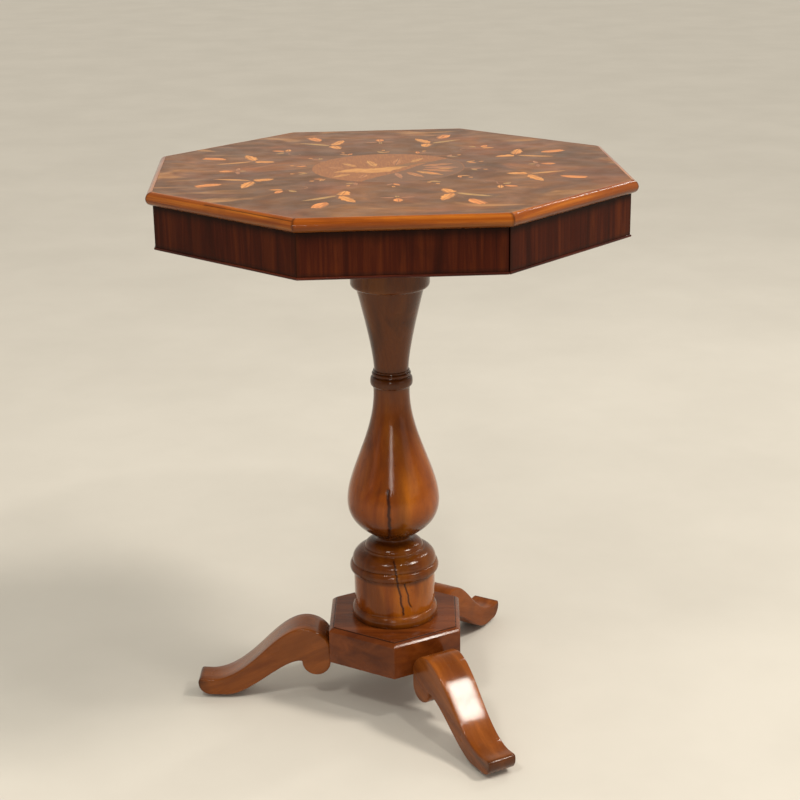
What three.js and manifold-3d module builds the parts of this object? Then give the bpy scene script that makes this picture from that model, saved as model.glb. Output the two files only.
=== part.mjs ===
// Tilt-top table: an octagonal veneered top with an apron, which tips up on two
// pins about the block of a turned column, on a hexagonal base with three legs.
// Millimetres, +Z up, origin on the floor under the column's axis, front towards -Y.

import * as THREE from 'three';
import { mergeVertices } from 'three/addons/utils/BufferGeometryUtils.js';
import Module from 'manifold-3d';

const wasm = await Module();
wasm.setup();

// ---------------------------------------------------------------- driving dimensions

// Top
const topAcrossFlats = 600;
const tableHeight = 749;
const topThickness = 16.5;
const veneerThickness = 1;
const apronDepth = 55;
const apronThickness = 16;
const beadHeight = 3.2;
const beadProjection = 1.6;
const openMitreWidth = 1.7;
const cornerBlockLeg = 30;
const cornerBlockHeight = 38;

// Bearers, pivot block and pins
const blockLength = 201;
const blockWidth = 190;
const blockHeight = 42;
const bearerThickness = 24;
const bearerDepth = 31;
const bearerTipDepth = 15;
const bearerEndSetback = 41;
const pivotSetback = 14;
const pivotRadius = 6;
const pivotGrip = 20;

// Catch under the front of the board
const catchWidth = 24;
const catchLength = 44;
const catchHeight = 12;
const catchFlange = 11;
const catchFlangeThickness = 2.4;
const boltWidth = 12;
const boltThickness = 5;
const boltTravel = 10;
const knobRadius = 5;
const knobDrop = 14;
const keeperThickness = 1.8;
const keeperMargin = 12;
const catchStandOff = 1.6;
const keeperClearance = 1;

// Screws
const screwRadius = 2;
const screwHeadRadius = 4.2;
const screwHeadHeight = 2.6;
const bearerScrewBite = 10;
const catchScrewLength = 11;
const keeperScrewLength = 12;
const bearerScrewSpacing = 340;

// Column: heights above the floor and radii
const columnLength = 567.6;
const collarDrop = 18.2;
const collarHeight = 599;
const collarRadius = 52.6;
const collarUnderside = 591;
const collarArrisRadius = 44.8;
const waistHeight = 478;
const waistRadius = 23;
const ringHeight = 463;
const ringRadius = 28.5;
const neckHeight = 448;
const neckRadius = 24.3;
const vaseHeight = 293;
const vaseRadius = 62.8;
const vaseFootHeight = 246;
const vaseFootRadius = 32;
const stemHeight = 237.5;
const stemRadius = 23;
const domeTop = 233.5;
const domeBase = 226;
const domeRadius = 40;
const shoulderTop = 221.8;
const shoulderBase = 204.2;
const shoulderRadius = 57.4;
const rollRadius = 61.2;
const drumTop = 190.8;
const drumTopRadius = 55.8;
const drumBottomRadius = 54.6;
const plinthBeadHeight = 15;
const plinthBeadRadius = 59.4;
const shaftTopRadius = 46;
const flangeRadius = 62;
const flangeThickness = 16;
const topTenonRadius = 20;
const footTenonRadius = 22;
const kerfDepth = 30;
const kerfWidth = 3;

// Hexagonal block, legs and pads
const hexAcrossFlats = 180.5;
const hexTop = 122.6;
const hexThickness = 52.2;
const hexTurn = -4.3;
const hexOvolo = 5;
const hexQuirk = 1.3;
const hexQuirkStep = 1.6;
const legReach = 279;
const legHeadThickness = 55;
const legToeThickness = 41;
const legHeadOffset = 3;
const legToeOffset = 1;
const legEdgeRound = 3;
const headTop = 109;
const headRadius = 38.3;
const headFlat = 2.2;
const lobeRadius = 20;
const lobeBottom = 38.5;
const notchHeight = 59.5;
const toeTop = 27.8;
const toeRadius = 17.5;
const toeCornerRadius = 5;
const soleLength = 22;
const tenonLength = 26;
const tenonThickness = 12;
const tenonTopDrop = 24;
const padRadius = 10.5;
const padThickness = 4.7;

// Clearances
const seatGap = 0.3;
const mitreGap = 0.3;
const pinClearance = 0.3;
const slideClearance = 0.3;
const tiltSideClearance = 0.5;

// ---------------------------------------------------------------- derived sizes

const sides = 8;
const halfCorner = Math.PI / sides;
const noseRadius = topThickness / 2;
const apronFace = topAcrossFlats / 2 - noseRadius;
const boardHalf = apronFace - seatGap;
const apronInner = apronFace - apronThickness;
const boardUnderside = tableHeight - topThickness;
const veneerUnderside = tableHeight - veneerThickness;
const apronBottom = boardUnderside - apronDepth;
const beadTop = apronBottom + beadHeight;

const blockTop = boardUnderside - seatGap;
const blockBottom = blockTop - blockHeight;
const blockFront = -blockWidth / 2;
const blockBack = blockWidth / 2;
const pivotY = blockBack - pivotSetback;
const pivotZ = blockTop - pivotSetback;
const bearerInner = blockLength / 2 + tiltSideClearance;
const bearerOuter = bearerInner + bearerThickness;
const bearerHalf = apronInner - bearerEndSetback + apronThickness;

const hexApothem = hexAcrossFlats / 2;
const hexBottom = hexTop - hexThickness;
const cosSixth = Math.cos(Math.PI / 6);

const radians = THREE.MathUtils.degToRad;
const lerp = THREE.MathUtils.lerp;

// ---------------------------------------------------------------- materials

function finish(name, color, roughness, metalness = 0) {
  return new THREE.MeshStandardMaterial({ name, color, roughness, metalness });
}

const veneerFinish = finish('walnut_veneer', 0x7d5f49, 0.35);
const nosingFinish = finish('fruitwood', 0xa85f22, 0.3);
const apronFinish = finish('rosewood_veneer', 0x3d1a0e, 0.35);
const columnFinish = finish('turned_walnut', 0x7a4218, 0.25);
const legFinish = finish('polished_walnut', 0x6e371a, 0.3);
const carcassFinish = finish('pine_carcass', 0xa98a5c, 0.7);
const blockFinish = finish('beech_block', 0x8f6a43, 0.6);
const brassFinish = finish('brass', 0xb08d46, 0.35, 1);
const steelFinish = finish('steel', 0x8c8c88, 0.4, 1);
const leatherFinish = finish('leather', 0x241812, 0.8);

// ---------------------------------------------------------------- solids

function toSolid(geometry) {
  const bare = geometry.clone();
  bare.deleteAttribute('normal');
  bare.deleteAttribute('uv');
  const merged = mergeVertices(bare, 1e-4);
  return new wasm.Manifold(new wasm.Mesh({
    numProp: 3,
    vertProperties: new Float32Array(merged.attributes.position.array),
    triVerts: new Uint32Array(merged.index.array),
  }));
}

function fromSolid(solid) {
  const mesh = solid.getMesh();
  const geometry = new THREE.BufferGeometry();
  geometry.setAttribute('position', new THREE.BufferAttribute(mesh.vertProperties, 3));
  geometry.setIndex(new THREE.BufferAttribute(mesh.triVerts, 1));
  geometry.computeVertexNormals();
  return geometry;
}

function cut(geometry, ...tools) {
  return fromSolid(tools.reduce((solid, tool) => solid.subtract(toSolid(tool)), toSolid(geometry)));
}

function join(geometry, ...others) {
  return fromSolid(others.reduce((solid, other) => solid.add(toSolid(other)), toSolid(geometry)));
}

// A box from its lowest to its highest corner.
function box(low, high) {
  const size = high.map((value, axis) => value - low[axis]);
  const middle = high.map((value, axis) => (value + low[axis]) / 2);
  return new THREE.BoxGeometry(...size).translate(...middle);
}

// A cylinder along X, Y or Z, from one end to the other on that axis.
function rod(axis, radius, centre, start, end, segments = 24) {
  const geometry = new THREE.CylinderGeometry(radius, radius, Math.abs(end - start), segments);
  const middle = (start + end) / 2;
  if (axis === 'x') return geometry.rotateZ(Math.PI / 2).translate(middle, centre[0], centre[1]);
  if (axis === 'y') return geometry.translate(centre[0], middle, centre[1]);
  return geometry.rotateX(Math.PI / 2).translate(centre[0], centre[1], middle);
}

// A profile of radius and height, turned about Z.
function turned(profile, segments) {
  return new THREE.LatheGeometry(profile, segments).rotateX(Math.PI / 2);
}

// A plan outline raised from one height to another.
function raised(outline, bottom, top) {
  const shape = new THREE.Shape(outline.map(([x, y]) => new THREE.Vector2(x, y)));
  const options = { depth: top - bottom, bevelEnabled: false };
  return new THREE.ExtrudeGeometry(shape, options).translate(0, 0, bottom);
}

// The octagon with flats on the axes, at a given distance from centre to flat.
function octagon(half) {
  const radius = half / Math.cos(halfCorner);
  return Array.from({ length: sides }, (_, corner) => {
    const angle = (2 * corner + 1) * halfCorner;
    return [radius * Math.cos(angle), radius * Math.sin(angle)];
  });
}

// A strip along the front flat of the octagon, from its section in distance from the
// centre and height. Both ends are mitred; the ends may be drawn back by different gaps.
function mitredStrip(section, leftGap = mitreGap / 2, rightGap = mitreGap / 2) {
  const geometry = new THREE.ExtrudeGeometry(section, { depth: 1, bevelEnabled: false, curveSegments: 10 });
  const points = geometry.attributes.position;
  for (let i = 0; i < points.count; i += 1) {
    const distance = points.getX(i);
    const atLeft = points.getZ(i) > 0.5;
    const gap = (atLeft ? leftGap : rightGap) / Math.cos(halfCorner);
    const reach = distance * Math.tan(halfCorner) - gap;
    points.setXYZ(i, atLeft ? -reach : reach, -distance, points.getY(i));
  }
  geometry.computeVertexNormals();
  return geometry;
}

// A countersunk wood screw pointing up, with the flat of its head at the given point.
function screw(length) {
  const profile = [
    [0, 0],
    [screwHeadRadius, 0],
    [screwRadius, screwHeadHeight],
    [screwRadius, length - screwRadius],
    [0, length],
  ];
  return turned(profile.map(([r, z]) => new THREE.Vector2(r, z)), 12);
}

// The hole that such a screw takes, a seat gap wider all round and open below its head.
function screwHole(length, openBelow) {
  const profile = [
    [0, -openBelow],
    [screwHeadRadius + seatGap, -openBelow],
    [screwHeadRadius + seatGap, 0],
    [screwRadius + seatGap, screwHeadHeight + seatGap],
    [screwRadius + seatGap, length + seatGap],
    [0, length + seatGap],
  ];
  return turned(profile.map(([r, z]) => new THREE.Vector2(r, z)), 12);
}

// ---------------------------------------------------------------- the assembly

const table = new THREE.Group();
table.name = 'tilt_top_table';

function place(name, geometry, material, turn = 0) {
  const mesh = new THREE.Mesh(geometry, material);
  mesh.name = name;
  mesh.rotation.z = turn;
  table.add(mesh);
  return mesh;
}

const bearerUnderside = boardUnderside - bearerDepth;
const bearerMiddle = (bearerInner + bearerOuter) / 2;
const bearerTipUnderside = boardUnderside - bearerTipDepth;
const taperStart = blockBack + bearerDepth / 2;
const bearerScrewY = bearerScrewSpacing / 2;
const taperShare = (bearerScrewY - taperStart) / (bearerHalf - taperStart);
const bearerScrewSeat = lerp(bearerUnderside, bearerTipUnderside, taperShare) + screwHeadHeight;
const bearerScrewLength = boardUnderside + bearerScrewBite - bearerScrewSeat;

const catchBack = blockFront - catchStandOff;
const catchFront = catchBack - catchLength;
const catchUnderside = boardUnderside - catchHeight;
const boltTop = boardUnderside - (catchHeight - boltThickness) / 2;
const boltUnderside = boltTop - boltThickness;
const boltMiddle = (boltTop + boltUnderside) / 2;
const boltTip = catchBack - slideClearance;
const knobY = catchFront + catchLength / 2 - boltTravel / 2;
const catchScrewX = catchWidth / 2 + catchFlange / 2;
const catchScrewY = (catchFront + catchBack) / 2;
const catchScrewSeat = boardUnderside - catchFlangeThickness;
const keeperHalf = boltWidth / 2 + keeperMargin;
const mouthHalf = boltWidth / 2 + keeperClearance;
const keeperScrewX = (mouthHalf + keeperHalf) / 2;
const keeperBottom = boltMiddle - boltThickness;
const keeperTop = boltMiddle + boltThickness;

// Top: core board, inlaid veneer field and the half-round nosing.
function makeTop() {
  const bearerHoles = [-1, 1].flatMap((side) => [-1, 1].map((end) => (
    screwHole(bearerScrewLength, 0).translate(side * bearerMiddle, end * bearerScrewY, bearerScrewSeat))));
  const catchHoles = [-1, 1].map((side) => (
    screwHole(catchScrewLength, 0).translate(side * catchScrewX, catchScrewY, catchScrewSeat)));
  const board = raised(octagon(boardHalf), boardUnderside, veneerUnderside);
  place('top_board', cut(board, ...bearerHoles, ...catchHoles), carcassFinish);
  place('top_veneer', raised(octagon(boardHalf), veneerUnderside, tableHeight), veneerFinish);

  const nose = new THREE.Shape();
  nose.moveTo(apronFace, boardUnderside);
  nose.absarc(apronFace, boardUnderside + noseRadius, noseRadius, -Math.PI / 2, Math.PI / 2, false);
  nose.lineTo(apronFace, boardUnderside);
  for (let side = 0; side < sides; side += 1) {
    place(`edge_moulding_${side + 1}`, mitredStrip(nose), nosingFinish, 2 * side * halfCorner);
  }
}

// Apron: eight boards, a bead under each and a glue block behind each mitre. The front
// board has shrunk back from its right-hand mitre, which stands open.
function makeApron() {
  const board = new THREE.Shape();
  board.moveTo(apronInner, beadTop);
  board.lineTo(apronFace, beadTop);
  board.lineTo(apronFace, boardUnderside);
  board.lineTo(apronInner, boardUnderside);
  board.closePath();

  const bead = new THREE.Shape();
  const beadRadius = beadHeight / 2;
  bead.moveTo(apronInner, apronBottom);
  bead.lineTo(apronFace + beadProjection - beadRadius, apronBottom);
  bead.absarc(apronFace + beadProjection - beadRadius, apronBottom + beadRadius, beadRadius,
    -Math.PI / 2, Math.PI / 2, false);
  bead.lineTo(apronInner, beadTop);
  bead.closePath();

  const along = cornerBlockLeg * Math.cos(halfCorner);
  const inward = cornerBlockLeg * Math.sin(halfCorner);
  const cornerY = -(apronInner - seatGap) / Math.cos(halfCorner);
  const block = [[0, cornerY], [along, cornerY + inward], [-along, cornerY + inward]];

  for (let side = 0; side < sides; side += 1) {
    const turn = 2 * side * halfCorner;
    const rightGap = side === 0 ? openMitreWidth : mitreGap / 2;
    place(`apron_panel_${side + 1}`, mitredStrip(board, mitreGap / 2, rightGap), apronFinish, turn);
    place(`apron_bead_${side + 1}`, mitredStrip(bead, mitreGap / 2, rightGap), apronFinish, turn);
    const glueBlock = raised(block, boardUnderside - cornerBlockHeight, boardUnderside);
    place(`corner_block_${side + 1}`, glueBlock, carcassFinish, turn + halfCorner);
  }
}

// Bearers: full depth past the pivot block, then tapered to their tips, each bored for
// its pivot pin and for two screws up into the board.
function makeBearers() {
  const outline = new THREE.Shape();
  outline.moveTo(-bearerHalf, boardUnderside);
  outline.lineTo(-bearerHalf, bearerTipUnderside);
  outline.lineTo(-taperStart, bearerUnderside);
  outline.lineTo(taperStart, bearerUnderside);
  outline.lineTo(bearerHalf, bearerTipUnderside);
  outline.lineTo(bearerHalf, boardUnderside);
  outline.closePath();
  for (const [name, side] of [['left', -1], ['right', 1]]) {
    const low = side > 0 ? bearerInner : -bearerOuter;
    const blank = new THREE.ExtrudeGeometry(outline, { depth: bearerThickness, bevelEnabled: false });
    blank.rotateX(Math.PI / 2).rotateZ(Math.PI / 2).translate(low, 0, 0);
    const holes = [-1, 1].map((end) => (
      screwHole(bearerScrewLength, bearerDepth)
        .translate(side * bearerMiddle, end * bearerScrewY, bearerScrewSeat)));
    const bore = rod('x', pivotRadius + pinClearance, [pivotY, pivotZ], low - 1, low + bearerThickness + 1);
    place(`bearer_${name}`, cut(blank, bore, ...holes), carcassFinish);
    for (const [index, end] of [-1, 1].entries()) {
      const number = (side > 0 ? 3 : 1) + index;
      const shank = screw(bearerScrewLength);
      shank.translate(side * bearerMiddle, end * bearerScrewY, bearerScrewSeat);
      place(`bearer_screw_${number}`, shank, steelFinish);
    }
  }
}

// Pivot block: its back top edge is rounded about the pivot, so the board can turn
// down behind it and stop against its back face.
function makePivotBlock() {
  const outline = new THREE.Shape();
  outline.moveTo(blockFront, blockBottom);
  outline.lineTo(blockBack, blockBottom);
  outline.lineTo(blockBack, pivotZ);
  outline.absarc(pivotY, pivotZ, pivotSetback, 0, Math.PI / 2, false);
  outline.lineTo(blockFront, blockTop);
  outline.closePath();
  const options = { depth: blockLength, bevelEnabled: false, curveSegments: 12 };
  const blank = new THREE.ExtrudeGeometry(outline, options);
  blank.rotateX(Math.PI / 2).rotateZ(Math.PI / 2).translate(-blockLength / 2, 0, 0);

  const pinInnerX = blockLength / 2 - pivotGrip;
  const socket = (side) => rod('x', pivotRadius + seatGap, [pivotY, pivotZ],
    side * (pinInnerX - seatGap), side * (blockLength / 2 + 1));
  const tenonHole = rod('z', topTenonRadius + seatGap, [0, 0], blockBottom - 1, blockTop + 1, 40);
  const keeperSeat = box(
    [-keeperHalf - seatGap, blockFront - 1, keeperBottom - seatGap],
    [keeperHalf + seatGap, blockFront + keeperThickness + seatGap, keeperTop + seatGap],
  );
  const boltPocket = box(
    [-mouthHalf, blockFront, boltUnderside - keeperClearance],
    [mouthHalf, boltTip + boltTravel + 2 * keeperClearance, boltTop + keeperClearance],
  );
  const keeperScrewHoles = [-1, 1].map((side) => keeperScrewAt(side, screwHole(keeperScrewLength, 1)));
  place('pivot_block', cut(blank, socket(-1), socket(1), tenonHole, keeperSeat, boltPocket,
    ...keeperScrewHoles), blockFinish);

  for (const [name, side] of [['left', -1], ['right', 1]]) {
    const pin = rod('x', pivotRadius, [pivotY, pivotZ], side * pinInnerX, side * bearerOuter);
    place(`pivot_pin_${name}`, pin, steelFinish);
  }
}

function keeperScrewAt(side, geometry) {
  return geometry.rotateX(-Math.PI / 2).translate(side * keeperScrewX, blockFront, boltMiddle);
}

// Catch: a brass bolt that slides in a flanged case under the board and shoots into a
// keeper let into the front of the pivot block. It is stored drawn back.
function makeCatch() {
  const body = box(
    [-catchWidth / 2, catchFront, catchUnderside],
    [catchWidth / 2, catchBack, boardUnderside],
  );
  const flange = box(
    [-catchWidth / 2 - catchFlange, catchFront, catchScrewSeat],
    [catchWidth / 2 + catchFlange, catchBack, boardUnderside],
  );
  const channel = box(
    [-boltWidth / 2 - slideClearance, catchFront - 1, boltUnderside - slideClearance],
    [boltWidth / 2 + slideClearance, catchBack + 1, boltTop + slideClearance],
  );
  const knobSlotHalf = screwRadius + slideClearance;
  const knobSlot = box(
    [-knobSlotHalf, knobY - knobSlotHalf, catchUnderside - 1],
    [knobSlotHalf, knobY + boltTravel + knobSlotHalf, boltUnderside],
  );
  const holes = [-1, 1].map((side) => (
    screwHole(catchScrewLength, 1).translate(side * catchScrewX, catchScrewY, catchScrewSeat)));
  place('catch_case', cut(join(body, flange), channel, knobSlot, ...holes), brassFinish);

  const bar = box(
    [-boltWidth / 2, catchFront + slideClearance, boltUnderside],
    [boltWidth / 2, boltTip, boltTop],
  );
  const knobProfile = [
    [0, boltUnderside - knobDrop],
    [knobRadius * 0.7, boltUnderside - knobDrop],
    [knobRadius, boltUnderside - knobDrop + knobRadius * 0.5],
    [knobRadius, boltUnderside - knobDrop + knobRadius * 0.8],
    [screwRadius, boltUnderside - knobDrop + knobRadius * 1.2],
    [screwRadius, boltMiddle],
    [0, boltMiddle],
  ].map(([r, z]) => new THREE.Vector2(r, z));
  place('catch_bolt', join(bar, turned(knobProfile, 20).translate(0, knobY, 0)), brassFinish);

  const plate = box(
    [-keeperHalf, blockFront, keeperBottom],
    [keeperHalf, blockFront + keeperThickness, keeperTop],
  );
  const mouth = box(
    [-mouthHalf, blockFront - 1, boltUnderside - keeperClearance],
    [mouthHalf, blockFront + keeperThickness + 1, boltTop + keeperClearance],
  );
  const keeperHoles = [-1, 1].map((side) => keeperScrewAt(side, screwHole(keeperScrewLength, 1)));
  place('catch_keeper', cut(plate, mouth, ...keeperHoles), brassFinish);

  for (const [index, side] of [-1, 1].entries()) {
    const catchScrew = screw(catchScrewLength).translate(side * catchScrewX, catchScrewY, catchScrewSeat);
    place(`catch_screw_${index + 1}`, catchScrew, brassFinish);
    place(`keeper_screw_${index + 1}`, keeperScrewAt(side, screw(keeperScrewLength)), brassFinish);
  }
}

// The turnings that are seen, from the plinth bead to the collar, at their drawn heights.
function turnedPath() {
  const path = new THREE.Path();
  // Plinth bead and drum.
  const beadCrown = hexTop + plinthBeadHeight;
  path.moveTo(plinthBeadRadius - 1, hexTop);
  path.quadraticCurveTo(plinthBeadRadius + 1.6, lerp(hexTop, beadCrown, 0.5),
    drumBottomRadius + 1, beadCrown);
  path.lineTo(drumBottomRadius, beadCrown + 0.8);
  path.lineTo(drumTopRadius, drumTop);
  // Roll.
  path.lineTo(rollRadius - 2, drumTop + 0.4);
  path.quadraticCurveTo(rollRadius + 0.8, lerp(drumTop, shoulderBase, 0.2),
    rollRadius - 0.6, lerp(drumTop, shoulderBase, 0.6));
  path.lineTo(shoulderRadius + 0.8, shoulderBase - 0.8);
  path.lineTo(shoulderRadius, shoulderBase);
  // Shoulder.
  path.bezierCurveTo(shoulderRadius + 0.4, lerp(shoulderBase, shoulderTop, 0.45),
    lerp(domeRadius, shoulderRadius, 0.7), shoulderTop - 1, domeRadius + 2.6, shoulderTop);
  path.lineTo(domeRadius + 2, domeBase - 1);
  path.lineTo(domeRadius, domeBase);
  // Dome and stem.
  path.quadraticCurveTo(lerp(stemRadius, domeRadius, 0.85), lerp(domeBase, domeTop, 0.85),
    stemRadius + 4.5, domeTop);
  path.lineTo(stemRadius, stemHeight);
  path.quadraticCurveTo(stemRadius + 0.8, lerp(stemHeight, vaseFootHeight, 0.6),
    vaseFootRadius - 1.5, vaseFootHeight - 1);
  path.lineTo(vaseFootRadius, vaseFootHeight);
  // Vase.
  path.bezierCurveTo(lerp(vaseFootRadius, vaseRadius, 0.5), lerp(vaseFootHeight, vaseHeight, 0.2),
    vaseRadius, lerp(vaseFootHeight, vaseHeight, 0.47), vaseRadius, vaseHeight);
  path.bezierCurveTo(vaseRadius, lerp(vaseHeight, neckHeight, 0.27),
    neckRadius, lerp(vaseHeight, neckHeight, 0.61), neckRadius, neckHeight);
  // Ring.
  path.lineTo(neckRadius + 0.8, lerp(neckHeight, ringHeight, 0.5));
  path.quadraticCurveTo(ringRadius + 0.4, lerp(neckHeight, ringHeight, 0.62), ringRadius, ringHeight);
  path.quadraticCurveTo(ringRadius + 0.2, lerp(ringHeight, waistHeight, 0.3),
    waistRadius + 3.2, lerp(ringHeight, waistHeight, 0.42));
  path.lineTo(waistRadius + 1.8, lerp(ringHeight, waistHeight, 0.72));
  path.lineTo(waistRadius, waistHeight);
  // Trumpet, rising to the arris under the collar.
  path.bezierCurveTo(lerp(waistRadius, collarArrisRadius, 0.065), lerp(waistHeight, collarUnderside, 0.27),
    lerp(waistRadius, collarArrisRadius, 0.635), lerp(waistHeight, collarUnderside, 0.71),
    collarArrisRadius, collarUnderside);
  // Collar.
  path.lineTo(collarArrisRadius + 1.2, collarUnderside + 0.6);
  path.quadraticCurveTo(collarRadius, lerp(collarUnderside, collarHeight, 0.25), collarRadius, collarHeight);
  return path;
}

// Column: one turning, from the foot tenon to the tenon through the pivot block. The seen part
// is drawn out to reach from the hexagonal block to the pivot block.
function columnProfile() {
  const stretch = (blockBottom - hexTop) / columnLength;
  const turned = sampled(turnedPath()).map(point =>
    new THREE.Vector2(point.x, hexTop + (point.y - hexTop) * stretch));
  const shaftFoot = blockBottom - 2 * flangeThickness;
  const head = new THREE.Path();
  head.moveTo(collarRadius, shaftFoot - collarDrop - 2);
  head.lineTo(shaftTopRadius, shaftFoot - collarDrop);
  head.lineTo(shaftTopRadius, shaftFoot);
  head.quadraticCurveTo(shaftTopRadius, blockBottom - flangeThickness,
    flangeRadius, blockBottom - flangeThickness);
  head.lineTo(flangeRadius, blockBottom);
  head.lineTo(topTenonRadius, blockBottom);
  head.lineTo(topTenonRadius, blockTop - seatGap);
  head.lineTo(0, blockTop - seatGap);
  const foot = new THREE.Path();
  foot.moveTo(0, hexBottom + seatGap);
  foot.lineTo(footTenonRadius, hexBottom + seatGap);
  foot.lineTo(footTenonRadius, hexTop);
  return [...sampled(foot), ...turned, ...sampled(head)];
}

// Points along a path: the ends of its straight runs and a few along each curve.
function sampled(path) {
  return path.curves.flatMap((curve, index) => {
    const straight = curve.type === 'LineCurve';
    const pieces = straight ? 1 : THREE.MathUtils.clamp(Math.ceil(curve.getLength() / 12), 3, 9);
    return curve.getPoints(pieces).slice(index === 0 ? 0 : 1);
  });
}

// A wedge that fills a kerf from its open end, a seat gap clear of both cheeks.
function wedge(length, open, deep) {
  const half = kerfWidth / 2 - seatGap;
  const shape = new THREE.Shape();
  const toward = Math.sign(deep - open);
  shape.moveTo(-half, open);
  shape.lineTo(half, open);
  shape.lineTo(half * 0.4, deep - toward * seatGap);
  shape.lineTo(-half * 0.4, deep - toward * seatGap);
  shape.closePath();
  const geometry = new THREE.ExtrudeGeometry(shape, { depth: 2 * length, bevelEnabled: false });
  return geometry.rotateX(Math.PI / 2).translate(0, length, 0);
}

function makeColumn() {
  const topKerfBottom = blockTop - seatGap - kerfDepth;
  const footKerfTop = hexBottom + seatGap + kerfDepth;
  const topKerf = box(
    [-kerfWidth / 2, -topTenonRadius - 1, topKerfBottom],
    [kerfWidth / 2, topTenonRadius + 1, blockTop + 1],
  );
  const footKerf = box(
    [-kerfWidth / 2, -footTenonRadius - 1, hexBottom - 1],
    [kerfWidth / 2, footTenonRadius + 1, footKerfTop],
  );
  place('column', cut(turned(columnProfile(), 40), topKerf, footKerf), columnFinish);
  const topReach = topTenonRadius - 1;
  const footReach = footTenonRadius - 1;
  place('column_top_wedge', wedge(topReach, blockTop - seatGap, topKerfBottom), blockFinish);
  place('column_foot_wedge', wedge(footReach, hexBottom + seatGap, footKerfTop), blockFinish);
}

// Leg outline in distance from the column's axis and height: a toe on a flat sole, an
// S-shaped rise, a round head against the block and a lobe that hangs under it.
function legOutline() {
  const back = hexApothem + seatGap;
  const headX = back + headRadius - headFlat;
  const headZ = headTop - headRadius;
  const lobeX = back + lobeRadius;
  const lobeZ = lobeBottom + lobeRadius;
  const toeX = legReach - toeRadius;
  const toeZ = padThickness + toeRadius;
  const bendX = lerp(headX, toeX, 0.46);
  const bendZ = lerp(headTop, toeTop, 0.49);
  const soleX = toeX - soleLength;
  const notchX = lobeX + lobeRadius + 2.2;

  const outline = new THREE.Shape();
  outline.moveTo(back, lobeZ);
  outline.absarc(lobeX, lobeZ, lobeRadius, Math.PI, 2 * Math.PI, false);
  outline.quadraticCurveTo(lobeX + lobeRadius, notchHeight, notchX, notchHeight);
  outline.bezierCurveTo(lerp(notchX, soleX, 0.26), notchHeight,
    lerp(notchX, soleX, 0.69), padThickness, soleX, padThickness);
  outline.lineTo(toeX, padThickness);
  outline.absarc(toeX, toeZ, toeRadius, -Math.PI / 2, 0, false);
  outline.quadraticCurveTo(legReach, toeTop + 1, legReach - toeCornerRadius, toeTop + 1);
  outline.lineTo(toeX, toeTop);
  outline.bezierCurveTo(lerp(bendX, toeX, 0.64), toeTop,
    lerp(bendX, toeX, 0.31), lerp(bendZ, toeTop, 0.53), bendX, bendZ);
  outline.bezierCurveTo(lerp(headX, bendX, 0.68), lerp(headTop, bendZ, 0.5),
    lerp(headX, bendX, 0.35), headTop, headX, headTop);
  const flatAngle = Math.acos(1 - headFlat / headRadius);
  outline.absarc(headX, headZ, headRadius, Math.PI / 2, Math.PI - flatAngle, false);
  outline.closePath();
  return outline;
}

// A leg thins evenly from its head to its toe, and stands a little to one side of the
// middle of its face of the block.
function taperLeg(geometry) {
  const points = geometry.attributes.position;
  for (let i = 0; i < points.count; i += 1) {
    const share = (points.getX(i) - hexApothem) / (legReach - hexApothem);
    const thinning = lerp(1, legToeThickness / legHeadThickness, share);
    points.setY(i, points.getY(i) * thinning + lerp(legHeadOffset, legToeOffset, share));
  }
  geometry.computeVertexNormals();
  return geometry;
}

function makeBase() {
  const turn = radians(hexTurn);
  const cornerRadius = (apothem) => apothem / cosSixth;
  const ovoloTop = hexTop - hexQuirk;
  const ovoloPoints = [0, 1, 2, 3].map((step) => {
    const angle = (step * Math.PI) / 6;
    return [hexApothem - hexOvolo * (1 - Math.cos(angle)), ovoloTop - hexOvolo * (1 - Math.sin(angle))];
  });
  const platform = hexApothem - hexOvolo - hexQuirkStep;
  const section = [
    [0, hexBottom],
    [hexApothem, hexBottom],
    ...ovoloPoints,
    [platform, ovoloTop],
    [platform, hexTop],
    [0, hexTop],
  ].map(([apothem, z]) => new THREE.Vector2(cornerRadius(apothem), z));

  const legTurns = [1, 3, 5].map((third) => (third * Math.PI) / 3 + turn);
  const tenonTop = headTop - tenonTopDrop;
  const tenon = (gap, drop) => box(
    [hexApothem - tenonLength - gap, -tenonThickness / 2 - gap, hexBottom - drop],
    [hexApothem + lobeRadius, tenonThickness / 2 + gap, tenonTop + gap],
  );
  const mortises = legTurns.map((angle) => tenon(seatGap, 1).rotateZ(angle));
  const tenonHole = rod('z', footTenonRadius + seatGap, [0, 0], hexBottom - 1, hexTop + 1, 40);
  const blank = turned(section, 6).rotateZ(turn);
  place('hex_block', cut(blank, tenonHole, ...mortises), columnFinish);

  const options = {
    depth: legHeadThickness - 2 * legEdgeRound,
    curveSegments: 7,
    bevelThickness: legEdgeRound,
    bevelSize: legEdgeRound,
    bevelOffset: -legEdgeRound,
    bevelSegments: 2,
  };
  const names = ['back', 'left', 'front'];
  for (const [index, angle] of legTurns.entries()) {
    const blankLeg = new THREE.ExtrudeGeometry(legOutline(), options);
    blankLeg.rotateX(Math.PI / 2).translate(0, legHeadThickness / 2 - legEdgeRound, 0);
    place(`leg_${names[index]}`, join(taperLeg(blankLeg), tenon(0, 0)), legFinish, angle);
    const padX = legReach - toeRadius - soleLength / 2;
    const pad = rod('z', padRadius, [padX, legToeOffset], 0, padThickness);
    place(`foot_pad_${names[index]}`, pad, leatherFinish, angle);
  }
}

makeTop();
makeApron();
makeBearers();
makePivotBlock();
makeCatch();
makeColumn();
makeBase();

export default table;
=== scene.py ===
"""Looks of the tilt-top table: an octagonal top in marquetry, its apron, a turned
column, a hexagonal block and three scrolled legs. Metres, in the part's own frame."""

from functools import partial
from math import acos, atan2, cos, degrees, hypot, log, pi, radians, sin, tan, tau

import bpy
import bmesh
from mathutils import Matrix, Vector
from mathutils.geometry import delaunay_2d_cdt


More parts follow.
